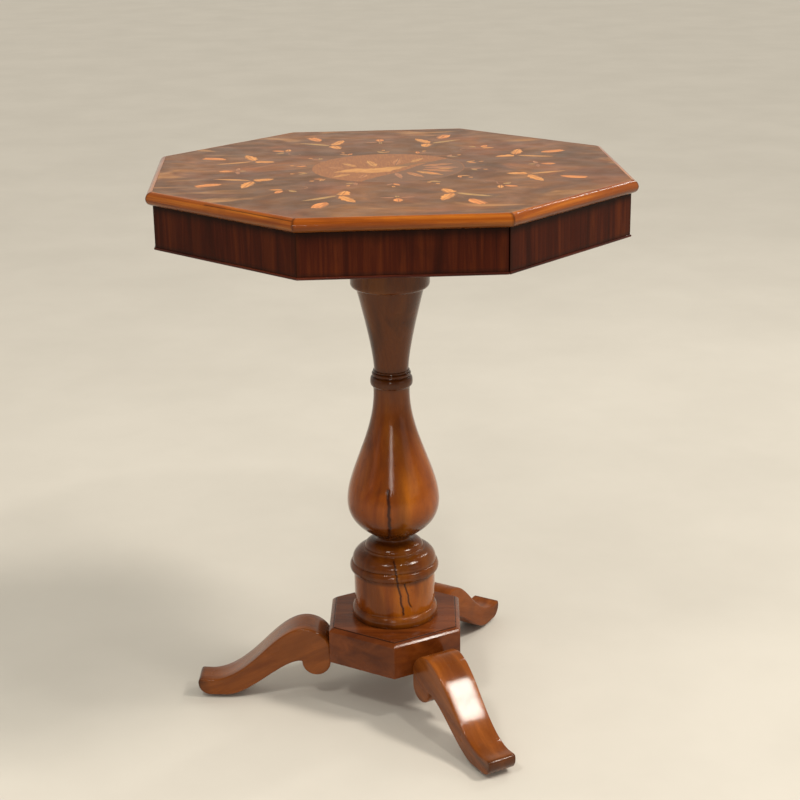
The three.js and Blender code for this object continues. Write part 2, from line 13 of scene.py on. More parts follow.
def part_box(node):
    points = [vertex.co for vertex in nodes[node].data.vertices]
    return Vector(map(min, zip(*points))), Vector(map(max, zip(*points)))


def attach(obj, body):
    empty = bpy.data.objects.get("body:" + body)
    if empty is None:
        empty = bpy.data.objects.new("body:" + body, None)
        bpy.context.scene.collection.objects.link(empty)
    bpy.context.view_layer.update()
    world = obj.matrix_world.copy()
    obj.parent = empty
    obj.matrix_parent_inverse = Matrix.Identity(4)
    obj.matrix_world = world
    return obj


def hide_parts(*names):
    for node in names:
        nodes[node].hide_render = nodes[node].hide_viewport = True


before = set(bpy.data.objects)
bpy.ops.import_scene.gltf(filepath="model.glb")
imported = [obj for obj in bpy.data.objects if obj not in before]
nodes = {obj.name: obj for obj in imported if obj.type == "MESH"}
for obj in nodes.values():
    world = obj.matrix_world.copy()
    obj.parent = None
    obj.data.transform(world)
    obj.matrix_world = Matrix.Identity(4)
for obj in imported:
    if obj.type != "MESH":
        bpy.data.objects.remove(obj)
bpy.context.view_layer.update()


MM = 0.001
SIDES = 8
HALF_CORNER = pi / SIDES

# Legs and block: the same sizes as their solids, in millimetres.
HEX_APOTHEM = 90.25
HEX_TURN = radians(-4.3)
HEX_OVOLO = 5.0
HEX_QUIRK = 1.3
HEX_QUIRK_STEP = 1.6
SEAT_GAP = 0.3
LEG_REACH = 279.0
LEG_HEAD_THICKNESS = 55.0
LEG_TOE_THICKNESS = 41.0
LEG_HEAD_OFFSET = 3.0
LEG_TOE_OFFSET = 1.0
LEG_ARRIS = 2.8
HEAD_TOP = 109.0
HEAD_RADIUS = 38.3
HEAD_FLAT = 2.2
LOBE_RADIUS = 20.0
LOBE_BOTTOM = 38.5
NOTCH_HEIGHT = 59.5
TOE_TOP = 27.8
TOE_RADIUS = 17.5
TOE_CORNER = 5.0
SOLE_LENGTH = 22.0
PAD_THICKNESS = 4.7
MITRE_GAP = 0.3
OPEN_MITRE = 1.7
HEX_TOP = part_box("hex_block")[1].z / MM
HEX_EASE = 1.4
LEG_FALL = radians(-24.0)
COLUMN_SEGMENTS = 128

# Camera: its place in metres, its angles in degrees and its lens in millimetres.
EYE = (-0.1147, -2.1145, 1.1421)
EYE_TURN, EYE_DROP, EYE_ROLL = -3.404, 18.482, -0.801
LENS, SENSOR = 74.83, 36.0
LAMPS_AIM_AT = (0, 0, 0.35)
FLOOR_REACH = 14.0

# Marquetry, in millimetres from the middle of the top.
GLUE_LINE = 0.3
PANEL_RADIUS = 98
WREATH_SPRIGS = 14

# Finish: dirt and painted shade, the inside of cracks and worm holes, and the optics of bare and
# polished wood.
DIRT_AND_SHADE, CRACK_DARK, WORM_DARK = "150904", "260f07", "1c0a05"
BARE_WOOD = {"IOR": 1.3, "Specular_IOR_Level": 0.12}
THIN_POLISH = {"Coat_Weight": 0.25, "Coat_Roughness": 0.2, "Coat_IOR": 1.3}
SPLIT_WANDER = 3.5 * MM

# Where dirt gathers and shade is painted, in millimetres, and how much: dirt and painted shade
# in the column's hollows, dirt on the toes and in the mitres, painted shade at the lower edges
# of strips and a painted shadow at their upper edges.
HOLLOW_REACH, HOLLOW_DEPTH, HOLLOW_DIRT_AND_SHADE = 5.0, 4.0, 0.7
TOE_DIRT_LENGTH, TOE_DIRT_FADE, TOE_DIRT = 7.0, 8.0, 0.6
MITRE_DIRT_WIDTH, MITRE_DIRT, LOWER_SHADE, UPPER_SHADOW = 2.0, 0.6, 0.62, 0.9

# The old crack in the nosing: degrees round the top, half its width, and how dark it is.
CRACK_FROM, CRACK_TO, CRACK_HALF, CRACK_DIRT = -139.0, -112.6, 0.5 * MM, 0.8

# Steps in the figure from one strip and from one leaf to the next, and a screw's slot.
PLANK_STEP = (0.731, 0.113, 0.379)
LEAF_STEP = 0.37
SLOT_LENGTH, SLOT_WIDTH, SLOT_DEPTH = 12 * MM, 1.0 * MM, 1.8 * MM


# ---------------- camera and light

def put(name, data):
    """A new object in the scene."""
    made = bpy.data.objects.new(name, data)
    bpy.context.scene.collection.objects.link(made)
    return made


def place_camera():
    """Eye height, a little left of the middle, looking slightly down on the top."""
    data = bpy.data.cameras.new("camera")
    data.lens, data.sensor_width = LENS, SENSOR
    placed = Matrix.Translation(EYE)
    for angle, axis in ((EYE_TURN, "Z"), (90 - EYE_DROP, "X"), (EYE_ROLL, "Z")):
        placed = placed @ Matrix.Rotation(radians(angle), 4, axis)
    camera = put("camera", data)
    camera.matrix_world = placed
    bpy.context.scene.camera = camera


def place_lamp(name, toward, distance, width, height, power, tint, spin=0.0):
    """A soft rectangular lamp in the direction `toward` from the middle of the table, turned
    by `spin` degrees about that direction."""
    data = bpy.data.lights.new(name, "AREA")
    data.shape = "RECTANGLE"
    data.size, data.size_y, data.energy = width, height, power
    data.color = colour(tint)[:3]
    direction = Vector(toward).normalized()
    put(name, data).matrix_world = (Matrix.Translation(Vector(LAMPS_AIM_AT) + direction * distance)
                                    @ direction.to_track_quat("Z", "Y").to_matrix().to_4x4()
                                    @ Matrix.Rotation(radians(spin), 4, "Z"))


def place_sun(name, toward, strength, spread, tint):
    """A distant window: even light over the whole floor, with a soft edge to its shadow."""
    data = bpy.data.lights.new(name, "SUN")
    data.energy, data.angle = strength, radians(spread)
    data.color = colour(tint)[:3]
    sun = put(name, data)
    sun.location = Vector(toward) * 3.0
    sun.rotation_euler = Vector(toward).to_track_quat("Z", "Y").to_euler()


# ---------------- materials

def colour(code):
    """Linear colour from an sRGB hex value."""
    values = [int(code[i:i + 2], 16) / 255 for i in (0, 2, 4)]
    return [v / 12.92 if v <= 0.04045 else ((v + 0.055) / 1.055) ** 2.4 for v in values] + [1.0]


FAMILIES = ("ShaderNode", "GeometryNode", "FunctionNode", "")
CHOICES = ("data_type", "domain", "operation", "blend_type", "interpolation_type",
           "noise_dimensions", "mode", "rotation_space")


def add_node(tree, kind, *values, **named):
    """Add a node, give it its settings, and fill or link its inputs. `kind` is the node's type
    and then its choices, as in "Math MULTIPLY". `values` fill its first inputs in their order.
    Among the named ones an input begins with a capital letter and a setting with a small one."""
    word, *choices = kind.split()
    made = tree.nodes.new(next(f + word for f in FAMILIES if hasattr(bpy.types, f + word)))
    for choice in choices:
        for key in CHOICES:
            known = made.bl_rna.properties.get(key)
            if known and choice in known.enum_items:
                setattr(made, key, choice)
    filled = list(zip(made.inputs, values))
    for key, value in named.items():
        if key == "stops":
            ramp = made.color_ramp.elements
            while len(ramp) < len(value):
                ramp.new(0.5)
            for element, (position, shade) in zip(ramp, value):
                element.position, element.color = position, colour(shade)
        elif key[0].islower():
            setattr(made, key, value)
        else:
            name = key.replace("_", " ")
            filled.append((next(s for s in made.inputs if s.name == name and s.enabled), value))
    for socket, value in filled:
        if isinstance(value, bpy.types.Node):
            value = next(s for s in value.outputs if s.enabled)
        if isinstance(value, bpy.types.NodeSocket):
            tree.links.new(value, socket)
        else:
            socket.default_value = value
    return made


def adder(owner):
    """Empty the node tree of a material or a world. Returns what adds nodes to it."""
    owner.use_nodes = True
    owner.node_tree.nodes.clear()
    return partial(add_node, owner.node_tree)


def new_material(name):
    """A material, and what adds nodes to it."""
    made = bpy.data.materials.new(name)
    return made, adder(made)


def split(add, place, x, low, high, width, lean=0.0):
    """Mask of a drying split in the front of a turning: a dark line that wanders upwards."""
    across, depth, up = place.outputs
    wander = add("TexNoise 1D", W=up, Scale=90.0, Detail=3.0, Roughness=0.6)
    course = add("Math MULTIPLY_ADD", wander, SPLIT_WANDER, x - SPLIT_WANDER / 2)
    leaning = add("Math MULTIPLY_ADD", up, lean, -lean * low)
    centre = add("Math ADD", course, leaning)
    off = add("Math ABSOLUTE", add("Math SUBTRACT", across, centre))
    mask = add("MapRange SMOOTHSTEP", off, width * 0.2, width * 1.15, 0.88, 0.0)
    start = add("MapRange SMOOTHSTEP", up, low, low + 4 * MM)
    end = add("MapRange SMOOTHSTEP", up, high - 3 * MM, high, 1.0, 0.0)
    front = add("Math LESS_THAN", depth, 0.0)
    for limit in (start, end, front):
        mask = add("Math MULTIPLY", mask, limit)
    return mask


def wood(name, dark, mid, light, along=0, own_grain=True, band=9.0, run=170.0, cloud=55.0,
         swirl=0.6, shadow="1c0d06", shadow_share=0.3, fibre=0.35, pores=0.4, roughness=0.3,
         coat=0.6, coat_roughness=0.08, gloss=1.3, relief=1.0, soiled_and_shaded=False, splits=(), worm=0.0):
    """A timber from its three tones. `along` is the axis of its grain. Sizes in millimetres:
    `band` and `run` are the width and length of its figure, `cloud` the size of its patches,
    `worm` the mean distance between old beetle holes."""
    made, add = new_material(name)
    if own_grain:
        where = add("Attribute", attribute_name="grain").outputs["Vector"]
    else:
        where = add("TexCoord").outputs["Object"]

    def stretched(length, width):
        scale = [1 / (width * MM)] * 3
        scale[along] = 1 / (length * MM)
        return add("Mapping", Vector=where, Scale=scale)

    figure = add("TexNoise", Vector=stretched(run, band), Scale=1.0, Detail=4.0, Roughness=0.55,
                 Distortion=swirl)
    tone = add("ValToRGB", figure, stops=[(0.30, dark), (0.50, mid), (0.70, light)])
    # Fibres are about a fifth of a millimetre wide; drawn at 0.7 mm so that they show.
    fibres = add("TexNoise", Vector=stretched(45.0, 0.7), Scale=1.0, Detail=3.0, Roughness=0.6)
    fibre_tone = add("ValToRGB", fibres, stops=[(0.30, "6e6a66"), (0.62, "ffffff")])
    surface = add("Mix RGBA MULTIPLY", Factor=fibre, A=tone, B=fibre_tone)
    patches = add("TexNoise", Vector=stretched(cloud * 2.2, cloud), Scale=1.0, Detail=3.0,
                  Roughness=0.5, Distortion=0.8)
    patch = add("MapRange SMOOTHSTEP", patches, 0.52, 0.36, 0.0, shadow_share)
    # Open pores: short dark dashes along the grain.
    pore_field = add("TexNoise", Vector=stretched(7.0, 0.5), Scale=1.0, Detail=1.0)
    sunk = add("MapRange SMOOTHSTEP", pore_field, 0.62, 0.72, 0.0, pores)
    marks = [(patch, shadow), (sunk, shadow)]
    # Dirt and painted shade, as the mesh's own attribute gives them.
    if soiled_and_shaded:
        marks.append((add("Attribute", attribute_name="soil").outputs["Fac"], DIRT_AND_SHADE))
    if splits:
        place = add("SeparateXYZ", where)
        for spec in splits:
            line = split(add, place, *spec)
            marks.append((line, CRACK_DARK))
            sunk = add("Math MULTIPLY_ADD", line, 3.0, sunk)
    if worm:
        spots = add("TexVoronoi", Vector=where, Scale=1 / (worm * MM)).outputs["Distance"]
        marks.append((add("MapRange", spots, 0.5 / worm, 0.9 / worm, 0.9, 0.0), WORM_DARK))
    for mask, shade in marks:
        surface = add("Mix RGBA", Factor=mask, A=surface, B=colour(shade))
    # Polish is pulled over by hand: the gloss wavers and the surface is never quite flat.
    hand = add("TexNoise", Vector=stretched(60.0, 22.0), Scale=1.0, Detail=2.0)
    wear = add("MapRange", hand, 0.3, 0.7, roughness * 0.8, roughness * 1.3)
    lift = add("Math MULTIPLY_ADD", hand, 2.2, fibres)
    height = add("Math SUBTRACT", lift, sunk)
    bump = add("Bump", Height=height, Distance=0.06 * MM * relief, Strength=1.0)
    add("OutputMaterial",
        add("BsdfPrincipled", Base_Color=surface, Roughness=wear, Normal=bump, Coat_Weight=coat,
            Coat_Roughness=coat_roughness, Coat_IOR=gloss, Coat_Normal=bump, **BARE_WOOD))
    return made


def inlay(name, dark, mid, light, scorched=True, vein=True):
    """A leaf of sawn veneer let into the ground. The grain attribute runs from the leaf's
    foot (x) and across it (y); its z counts the leaf. One edge is scorched in hot sand."""
    made, add = new_material(name)
    where = add("Attribute", attribute_name="grain").outputs["Vector"]
    drawn = add("Mapping", Vector=where, Scale=(60.0, 500.0, 11.0))
    figure = add("TexNoise", Vector=drawn, Scale=1.0, Detail=3.0, Roughness=0.6, Distortion=0.4)
    surface = add("ValToRGB", figure, stops=[(0.30, dark), (0.50, mid), (0.70, light)])
    across = add("SeparateXYZ", where).outputs[1]
    marks = []
    if scorched:
        marks.append((add("MapRange SMOOTHSTEP", across, 1.0 * MM, 8.0 * MM, 0.0, 0.7), "4a2a16"))
    if vein:
        off = add("Math ABSOLUTE", across)
        marks.append((add("MapRange SMOOTHSTEP", off, 0.25 * MM, 0.6 * MM, 0.75, 0.0), "3a2010"))
    for mask, shade in marks:
        surface = add("Mix RGBA", Factor=mask, A=surface, B=colour(shade))
    bump = add("Bump", Height=figure, Distance=0.05 * MM, Strength=1.0)
    add("OutputMaterial",
        add("BsdfPrincipled", Base_Color=surface, Roughness=0.34, Normal=bump, **BARE_WOOD,
            **THIN_POLISH))
    return made


def walnut_ground():
    """The field: cloudy figured walnut with streaks of paler sapwood towards the edges."""
    made, add = new_material("figured_walnut_veneer")
    where = add("TexCoord").outputs["Object"]

    def drawn(source, *scale):
        return add("Mapping", Vector=source, Scale=scale)

    bent = add("TexNoise", Vector=where, Scale=5.5, Detail=2.0)
    pull = add("VectorMath SCALE", bent.outputs["Color"], Scale=0.16)
    pulled = add("VectorMath ADD", where, pull)
    figure = add("TexNoise", Vector=drawn(pulled, 7.0, 15.0, 1.0), Scale=1.0, Detail=6.0,
                 Roughness=0.6, Distortion=1.2)
    tone = add("ValToRGB", figure,
               stops=[(0.28, "603c18"), (0.42, "70461e"), (0.55, "865628"), (0.70, "a06a34")])
    fibres = add("TexNoise", Vector=drawn(pulled, 40.0, 1100.0, 1.0), Scale=1.0, Detail=2.0)
    fibre_tone = add("ValToRGB", fibres, stops=[(0.3, "8c8782"), (0.65, "ffffff")])
    streaked = add("Mix RGBA MULTIPLY", Factor=0.4, A=tone, B=fibre_tone)
    hue = add("TexNoise", Vector=where, Scale=14.0, Detail=2.0, Roughness=0.5)
    warmth = add("ValToRGB", hue, stops=[(0.35, "80704a"), (0.5, "8a6e4c"), (0.65, "a06a48")])
    tinted = add("Mix RGBA OVERLAY", Factor=0.5, A=streaked, B=warmth)
    place = add("SeparateXYZ", where)
    sap_grain = drawn(where, 9.0, 22.0, 1.0)
    sap_grain.inputs["Location"].default_value = (3.1, 1.7, 0.0)
    sap_noise = add("TexNoise", Vector=sap_grain, Scale=1.0, Detail=4.0, Distortion=1.0)
    sap = add("MapRange SMOOTHSTEP", sap_noise, 0.52, 0.68, 0.0, 0.6)
    plan = add("CombineXYZ", place.outputs[0], place.outputs[1])
    out = add("VectorMath LENGTH", plan).outputs["Value"]
    rim = add("MapRange SMOOTHSTEP", out, 0.19, 0.28)
    sap_rim = add("Math MULTIPLY", sap, rim)
    surface = add("Mix RGBA", Factor=sap_rim, A=tinted, B=colour("b07c46"))
    hand = add("TexNoise", Vector=where, Scale=35.0, Detail=2.0)
    wear = add("MapRange", hand, 0.3, 0.7, 0.28, 0.42)
    height = add("Math MULTIPLY_ADD", hand, 2.0, fibres)
    bump = add("Bump", Height=height, Distance=0.05 * MM, Strength=1.0)
    add("OutputMaterial",
        add("BsdfPrincipled", Base_Color=surface, Roughness=wear, Normal=bump, **BARE_WOOD,
            **THIN_POLISH))
    return made


def metal(name, base, dulled, roughness):
    """Filed metal that has dulled and spotted with age."""
    made, add = new_material(name)
    where = add("TexCoord").outputs["Object"]
    spots = add("TexNoise", Vector=where, Scale=220.0, Detail=5.0, Roughness=0.7)
    filed = add("Mapping", Vector=where, Scale=(300.0, 3000.0, 3000.0))
    file_marks = add("TexNoise", Vector=filed, Scale=1.0, Detail=2.0)
    surface = add("ValToRGB", spots, stops=[(0.40, base), (0.66, dulled)])
    wear = add("MapRange", spots, 0.3, 0.7, roughness * 0.75, roughness * 1.5)
    bump = add("Bump", Height=file_marks, Distance=0.02 * MM, Strength=1.0)
    add("OutputMaterial",
        add("BsdfPrincipled", Base_Color=surface, Roughness=wear, Normal=bump, Metallic=1.0))
    return made


def worn_leather():
    """Dark sole leather: a fine pebble, greyed by the floor."""
    made, add = new_material("worn_sole_leather")
    where = add("TexCoord").outputs["Object"]
    pebble = add("TexVoronoi", Vector=where, Scale=900.0).outputs["Distance"]
    dust = add("TexNoise", Vector=where, Scale=180.0, Detail=4.0)
    surface = add("ValToRGB", dust, stops=[(0.40, "17100c"), (0.70, "3a2c22")])
    bump = add("Bump", Height=pebble, Distance=0.2 * MM, Strength=0.7)
    add("OutputMaterial", add("BsdfPrincipled", Base_Color=surface, Roughness=0.7, Normal=bump))
    return made


def floor_finish():
    """A pale floor that keeps the table's shadow."""
    made, add = new_material("pale_floor")
    where = add("TexCoord").outputs["Object"]
    mottle = add("TexNoise", Vector=where, Scale=3.0, Detail=5.0, Roughness=0.6)
    surface = add("ValToRGB", mottle, stops=[(0.35, "c5c1b8"), (0.65, "cac6bd")])
    add("OutputMaterial", add("BsdfPrincipled", Base_Color=surface, Roughness=0.85, IOR=1.2))
    return made


# ---------------- outlines and meshes

class Outline:
    """A drawn line of points in a plane, built from straight runs, curves and arcs."""

    def __init__(self, x, y):
        self.points = [Vector((x, y))]

    def to(self, *numbers):
        """On to a point, straight or bent towards the points given before it. An odd number
        at the end says in how many steps."""
        steps = numbers[-1] if len(numbers) % 2 else 1
        course = [self.points[-1]] + [Vector(pair) for pair in zip(numbers[::2], numbers[1::2])]
        for i in range(1, steps + 1):
            spots = course
            while len(spots) > 1:
                spots = [a.lerp(b, i / steps) for a, b in zip(spots, spots[1:])]
            self.points += spots
        return self

    def arc(self, cx, cy, radius, start, end, steps):
        turns = [lerp(start, end, i / steps) for i in range(1, steps + 1)]
        self.points += [Vector((cx, cy)) + polar(radius, turn) for turn in turns]
        return self


def lerp(a, b, t):
    return a + (b - a) * t


def polar(radius, angle):
    return Vector((radius * cos(angle), radius * sin(angle)))


def new_mesh(name, verts, edges, faces):
    mesh = bpy.data.meshes.new(name)
    mesh.from_pydata([tuple(v) for v in verts], edges, faces)
    return mesh


def stacked_faces(count, per):
    """Faces round `count` rings of `per` points, one upon another, and across both ends."""
    faces = [(r * per + i, r * per + (i + 1) % per,
              (r + 1) * per + (i + 1) % per, (r + 1) * per + i)
             for r in range(count - 1) for i in range(per)]
    return faces + [tuple(reversed(range(per))), tuple(range((count - 1) * per, count * per))]


def evaluated(holder):
    """The mesh that an object's modifiers make; the object goes."""
    graph = bpy.context.evaluated_depsgraph_get()
    result = bpy.data.meshes.new_from_object(holder.evaluated_get(graph))
    bpy.data.objects.remove(holder)
    return result


def finish_piece(name, mesh, material, body, stands_for, sharp, merge=True):
    """A finished piece: merged, its faces outward, smooth but for its sharp edges."""
    if merge:
        work = bmesh.new()
        work.from_mesh(mesh)
        bmesh.ops.remove_doubles(work, verts=work.verts, dist=1e-6)
        bmesh.ops.recalc_face_normals(work, faces=work.faces)
        work.to_mesh(mesh)
        work.free()
    mesh.shade_smooth()
    mesh.set_sharp_from_angle(angle=radians(sharp))
    if material:
        mesh.materials.clear()
        mesh.materials.append(material)
    piece = put(name, mesh)
    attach(piece, body)
    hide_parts(*stands_for)
    return piece


def store(mesh, name, values, kind="FLOAT_VECTOR", domain="POINT"):
    """Keep one value for each point (or corner) of a mesh as an attribute."""
    layer = mesh.attributes.new(name, kind, domain)
    if kind == "FLOAT_VECTOR":
        layer.data.foreach_set("vector", [c for v in values for c in v])
    else:
        layer.data.foreach_set("value", values)


# ---------------- geometry node trees

def new_tree(name, **kinds):
    """An empty geometry tree with these inputs besides its geometry. Returns it, what adds
    nodes to it, and its inputs by name."""
    tree = bpy.data.node_groups.new(name, "GeometryNodeTree")
    mesh = {"name": "Geometry", "socket_type": "NodeSocketGeometry"}
    tree.interface.new_socket(**mesh, in_out="INPUT")
    for label, kind in kinds.items():
        tree.interface.new_socket(label.replace("_", " "), socket_type="NodeSocket" + kind)
    tree.interface.new_socket(**mesh, in_out="OUTPUT")
    entry = tree.nodes.new("NodeGroupInput")
    return tree, partial(add_node, tree), {socket.name: socket for socket in entry.outputs}


def run_tree(tree, mesh, values):
    """Run a tree on a mesh with its inputs set, and return the result as a plain mesh."""
    holder = put("work", mesh)
    modifier = holder.modifiers.new("shape", "NODES")
    modifier.node_group = tree
    for item in tree.interface.items_tree:
        if item.in_out == "INPUT" and item.name in values:
            modifier[item.identifier] = values[item.name]
    return evaluated(holder)


def swept_section(add, profile, path):
    """Sweep the section (x = distance, y = height) along a path, keeping for every point
    where it lies on the section and how far along the path it is."""
    kept = add("StoreNamedAttribute FLOAT_VECTOR POINT", Geometry=add("MeshToCurve", profile),
               Name="section", Value=add("InputPosition"))
    paced = add("StoreNamedAttribute FLOAT POINT", Geometry=path, Name="along",
                Value=add("SplineParameter").outputs["Index"])
    return add("CurveToMesh", Curve=paced, Profile_Curve=kept, Fill_Caps=True)


def mitred_ring_tree():
    """Strips of one section round the sides of an octagon, mitred at its corners. Input:
    the section as a closed loop of edges. The first strip may stand open at its right end."""
    tree, add, given = new_tree("mitred_ring", Sides="Int", Mitre_Gap="Float", Open_Mitre="Float",
                                Stations="Int", Wander="Float", Seed="Float", Material="Material")
    path = add("CurvePrimitiveLine", Start=(0, 0, 0), End=(1, 0, 0))
    paced = add("ResampleCurve", Curve=path, Count=given["Stations"])
    swept = swept_section(add, given["Geometry"], paced)
    index = add("InputNamedAttribute FLOAT", Name="along")
    last = add("Math SUBTRACT", given["Stations"], 1.0)
    share = add("Math DIVIDE", index, last)
    signed = add("Math MULTIPLY_ADD", share, 2.0, -1.0)
    section = add("SeparateXYZ", add("InputNamedAttribute FLOAT_VECTOR", Name="section"))
    half = add("Math MULTIPLY", section.outputs[0], tan(HALF_CORNER))
    drawn_back = add("Math MULTIPLY", given["Mitre Gap"], 0.5 / cos(HALF_CORNER))
    x = add("Math MULTIPLY", signed, add("Math SUBTRACT", half, drawn_back))
    y = add("Math MULTIPLY", section.outputs[0], -1.0)
    spot = add("CombineXYZ", x, y, section.outputs[1])
    straight = add("SetPosition", Geometry=swept, Position=spot)
    strip = add("StoreNamedAttribute FLOAT_VECTOR POINT", Geometry=straight, Name="grain",
                Value=add("InputPosition"))
    # One strip for each side, numbered and turned into place.
    number = add("InputIndex")
    sides = add("MeshLine OFFSET", Count=given["Sides"], Offset=(0, 0, 0))
    numbered = add("StoreNamedAttribute FLOAT POINT", Geometry=sides, Name="strip", Value=number)
    corner = add("Math DIVIDE", tau, given["Sides"])
    turn = add("CombineXYZ", Z=add("Math MULTIPLY", number, corner))
    placed = add("InstanceOnPoints", Points=numbered, Instance=strip, Rotation=turn)
    ring = add("RealizeInstances", Geometry=placed)
    # Each is cut from another part of the plank.
    which = add("InputNamedAttribute FLOAT", Name="strip")
    grain = add("InputNamedAttribute FLOAT_VECTOR", Name="grain")
    plank = add("Math ADD", which, given["Seed"])
    shift = add("VectorMath SCALE", PLANK_STEP, Scale=plank)
    varied = add("StoreNamedAttribute FLOAT_VECTOR POINT", Geometry=ring, Name="grain",
                 Value=add("VectorMath ADD", grain, shift))
    first = add("Compare FLOAT LESS_THAN", which, 0.5)
    right = add("Compare FLOAT GREATER_THAN", index, add("Math SUBTRACT", last, 0.5))
    open_by = add("Math MULTIPLY", given["Open Mitre"], -1 / cos(HALF_CORNER))
    both = add("BooleanMath AND", first, right)
    opened = add("SetPosition", Geometry=varied, Selection=both, Offset=add("CombineXYZ", open_by))
    # Hand-planed strips are a hair uneven: the surface wanders along its length.
    uneven = add("TexNoise", Vector=add("InputPosition"), Scale=18.0, Detail=1.0)
    depth = add("Math MULTIPLY", uneven, given["Wander"])
    inward = add("Math MULTIPLY", depth, -1.0)
    sway = add("VectorMath SCALE", add("InputNormal"), Scale=inward)
    swayed = add("SetPosition", Geometry=opened, Offset=sway)
    add("NodeGroupOutput", add("SetMaterial", Geometry=swayed, Material=given["Material"]))
    return tree


def turning_tree():
    """A turned piece: the profile (x = radius, y = height) carried once round the axis."""
    tree, add, given = new_tree("turning", Segments="Int", Material="Material")
    circle = add("CurvePrimitiveCircle", Resolution=given["Segments"], Radius=1.0)
    swept = swept_section(add, given["Geometry"], circle)
    index = add("InputNamedAttribute FLOAT", Name="along")
    angle = add("Math MULTIPLY", add("Math DIVIDE", index, given["Segments"]), tau)
    section = add("SeparateXYZ", add("InputNamedAttribute FLOAT_VECTOR", Name="section"))
    x = add("Math MULTIPLY", section.outputs[0], add("Math COSINE", angle))
    y = add("Math MULTIPLY", section.outputs[0], add("Math SINE", angle))
    spot = add("CombineXYZ", x, y, section.outputs[1])
    turned = add("SetPosition", Geometry=swept, Position=spot)
    closed = add("MergeByDistance", Geometry=turned, Distance=1e-6)
    add("NodeGroupOutput", add("SetMaterial", Geometry=closed, Material=given["Material"]))
    return tree


def screws_tree():
    """Screws driven at the points of a mesh, their slots left at any angle."""
    tree, add, given = new_tree("screws", Screw="Object", Tilt="Float", Seed="Int",
                                Material="Material")
    screw = add("GeometryNodeObjectInfo", given["Screw"]).outputs["Geometry"]
    chance = add("RandomValue FLOAT", Min=0.0, Max=tau, Seed=given["Seed"])
    spun = add("EulerToRotation", add("CombineXYZ", Z=chance))
    lean = add("EulerToRotation", add("CombineXYZ", given["Tilt"]))
    turn = add("RotateRotation LOCAL", Rotation=lean, Rotate_By=spun)
    placed = add("InstanceOnPoints", Points=given["Geometry"], Instance=screw, Rotation=turn)
    real = add("RealizeInstances", Geometry=placed)
    add("NodeGroupOutput", add("SetMaterial", Geometry=real, Material=given["Material"]))
    return tree


def loop_mesh(points, closed=True):
    """Points joined by edges, in metres, ready for a tree."""
    count = len(points)
    edges = [(i, (i + 1) % count) for i in range(count if closed else count - 1)]
    return new_mesh("profile", [(p[0], p[1], 0.0) for p in points], edges, [])


# ---------------- the column and its base

def column_outline():
    """The column's profile in millimetres: radius against height, from foot to head."""
    low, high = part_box("column")
    foot, head = low.z / MM, high.z / MM
    line = Outline(0, foot)
    line.to(22, foot).to(22, HEX_TOP, 4)
    # Plinth bead.
    line.to(58.2, HEX_TOP, 4).to(58.8, HEX_TOP + 0.8)
    line.to(60.6, HEX_TOP + 5.0, 59.9, HEX_TOP + 11.5, 56.6, HEX_TOP + 14.4, 14)
    line.to(55.7, HEX_TOP + 14.9).to(54.7, HEX_TOP + 15.2).to(54.6, HEX_TOP + 16.4)
    # Drum, a little barrelled.
    line.to(56.0, 158, 55.8, 190.2, 20)
    # Roll.
    line.to(56.2, 190.8).to(58.8, 191.0).to(61.6, 191.4, 62.0, 196.6, 60.6, 199.6, 14)
    line.to(59.8, 201.6, 58.6, 202.8, 5).to(57.2, 203.4).to(56.9, 204.0).to(57.6, 204.6)
    # Shoulder.
    line.to(58.0, 211.5, 52.6, 219.8, 43.4, 221.4, 22).to(42.6, 221.6).to(42.3, 222.2)
    line.to(42.2, 224.6).to(41.6, 225.2).to(40.4, 225.4).to(39.9, 226.0)
    # Dome and stem.
    line.to(38.6, 230.6, 34.0, 232.6, 28.0, 233.8, 14).to(23.8, 234.8, 23.0, 238.0, 8)
    line.to(23.4, 242.6, 29.6, 244.7, 8).to(31.4, 245.0).to(32.0, 246.0)
    # Vase.
    line.to(47.4, 255.4, 62.8, 268.1, 62.8, 293.0, 30)
    line.to(62.8, 334.8, 24.3, 387.6, 24.3, 448.0, 56)
    # Neck ring: a quirk, the wide bead, a groove, a thin bead and a fillet.
    line.to(24.5, 452.0).to(24.8, 455.4).to(25.5, 456.2)
    line.to(27.6, 456.6, 28.6, 459.0, 28.6, 462.6, 10).to(28.6, 466.8, 27.6, 469.4, 26.0, 470.0, 10)
    line.to(25.0, 470.4).to(24.8, 471.2).to(26.4, 471.8, 26.3, 473.6, 6)
    line.to(26.1, 475.2, 24.9, 475.6, 6)
    line.to(23.9, 475.9).to(23.7, 476.6).to(24.6, 477.0).to(24.5, 478.2).to(23.0, 478.8)
    # Trumpet, rising to the arris under the collar.
    line.to(24.4, 508.6, 36.8, 558.2, 44.8, 590.6, 44)
    # Collar.
    line.to(45.1, 591.2).to(45.2, 591.9, 46.2, 591.8, 4)
    line.to(52.6, 592.6, 52.6, 599.0, 14).to(52.6, 638.0, 6).to(51.8, 638.8).to(46.0, 640.0)
    # Shaft, flange and head tenon, out of sight inside the apron.
    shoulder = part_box("pivot_block")[0].z / MM
    line.to(46.0, shoulder - 32.0, 6).to(46.0, shoulder - 16.0, 61.6, shoulder - 16.0, 12)
    line.to(62.0, shoulder - 15.6).to(62.0, shoulder - 0.4).to(61.6, shoulder)
    line.to(20.0, shoulder, 4).to(20.0, head - 0.6, 4).to(19.4, head).to(0, head)
    return line.points


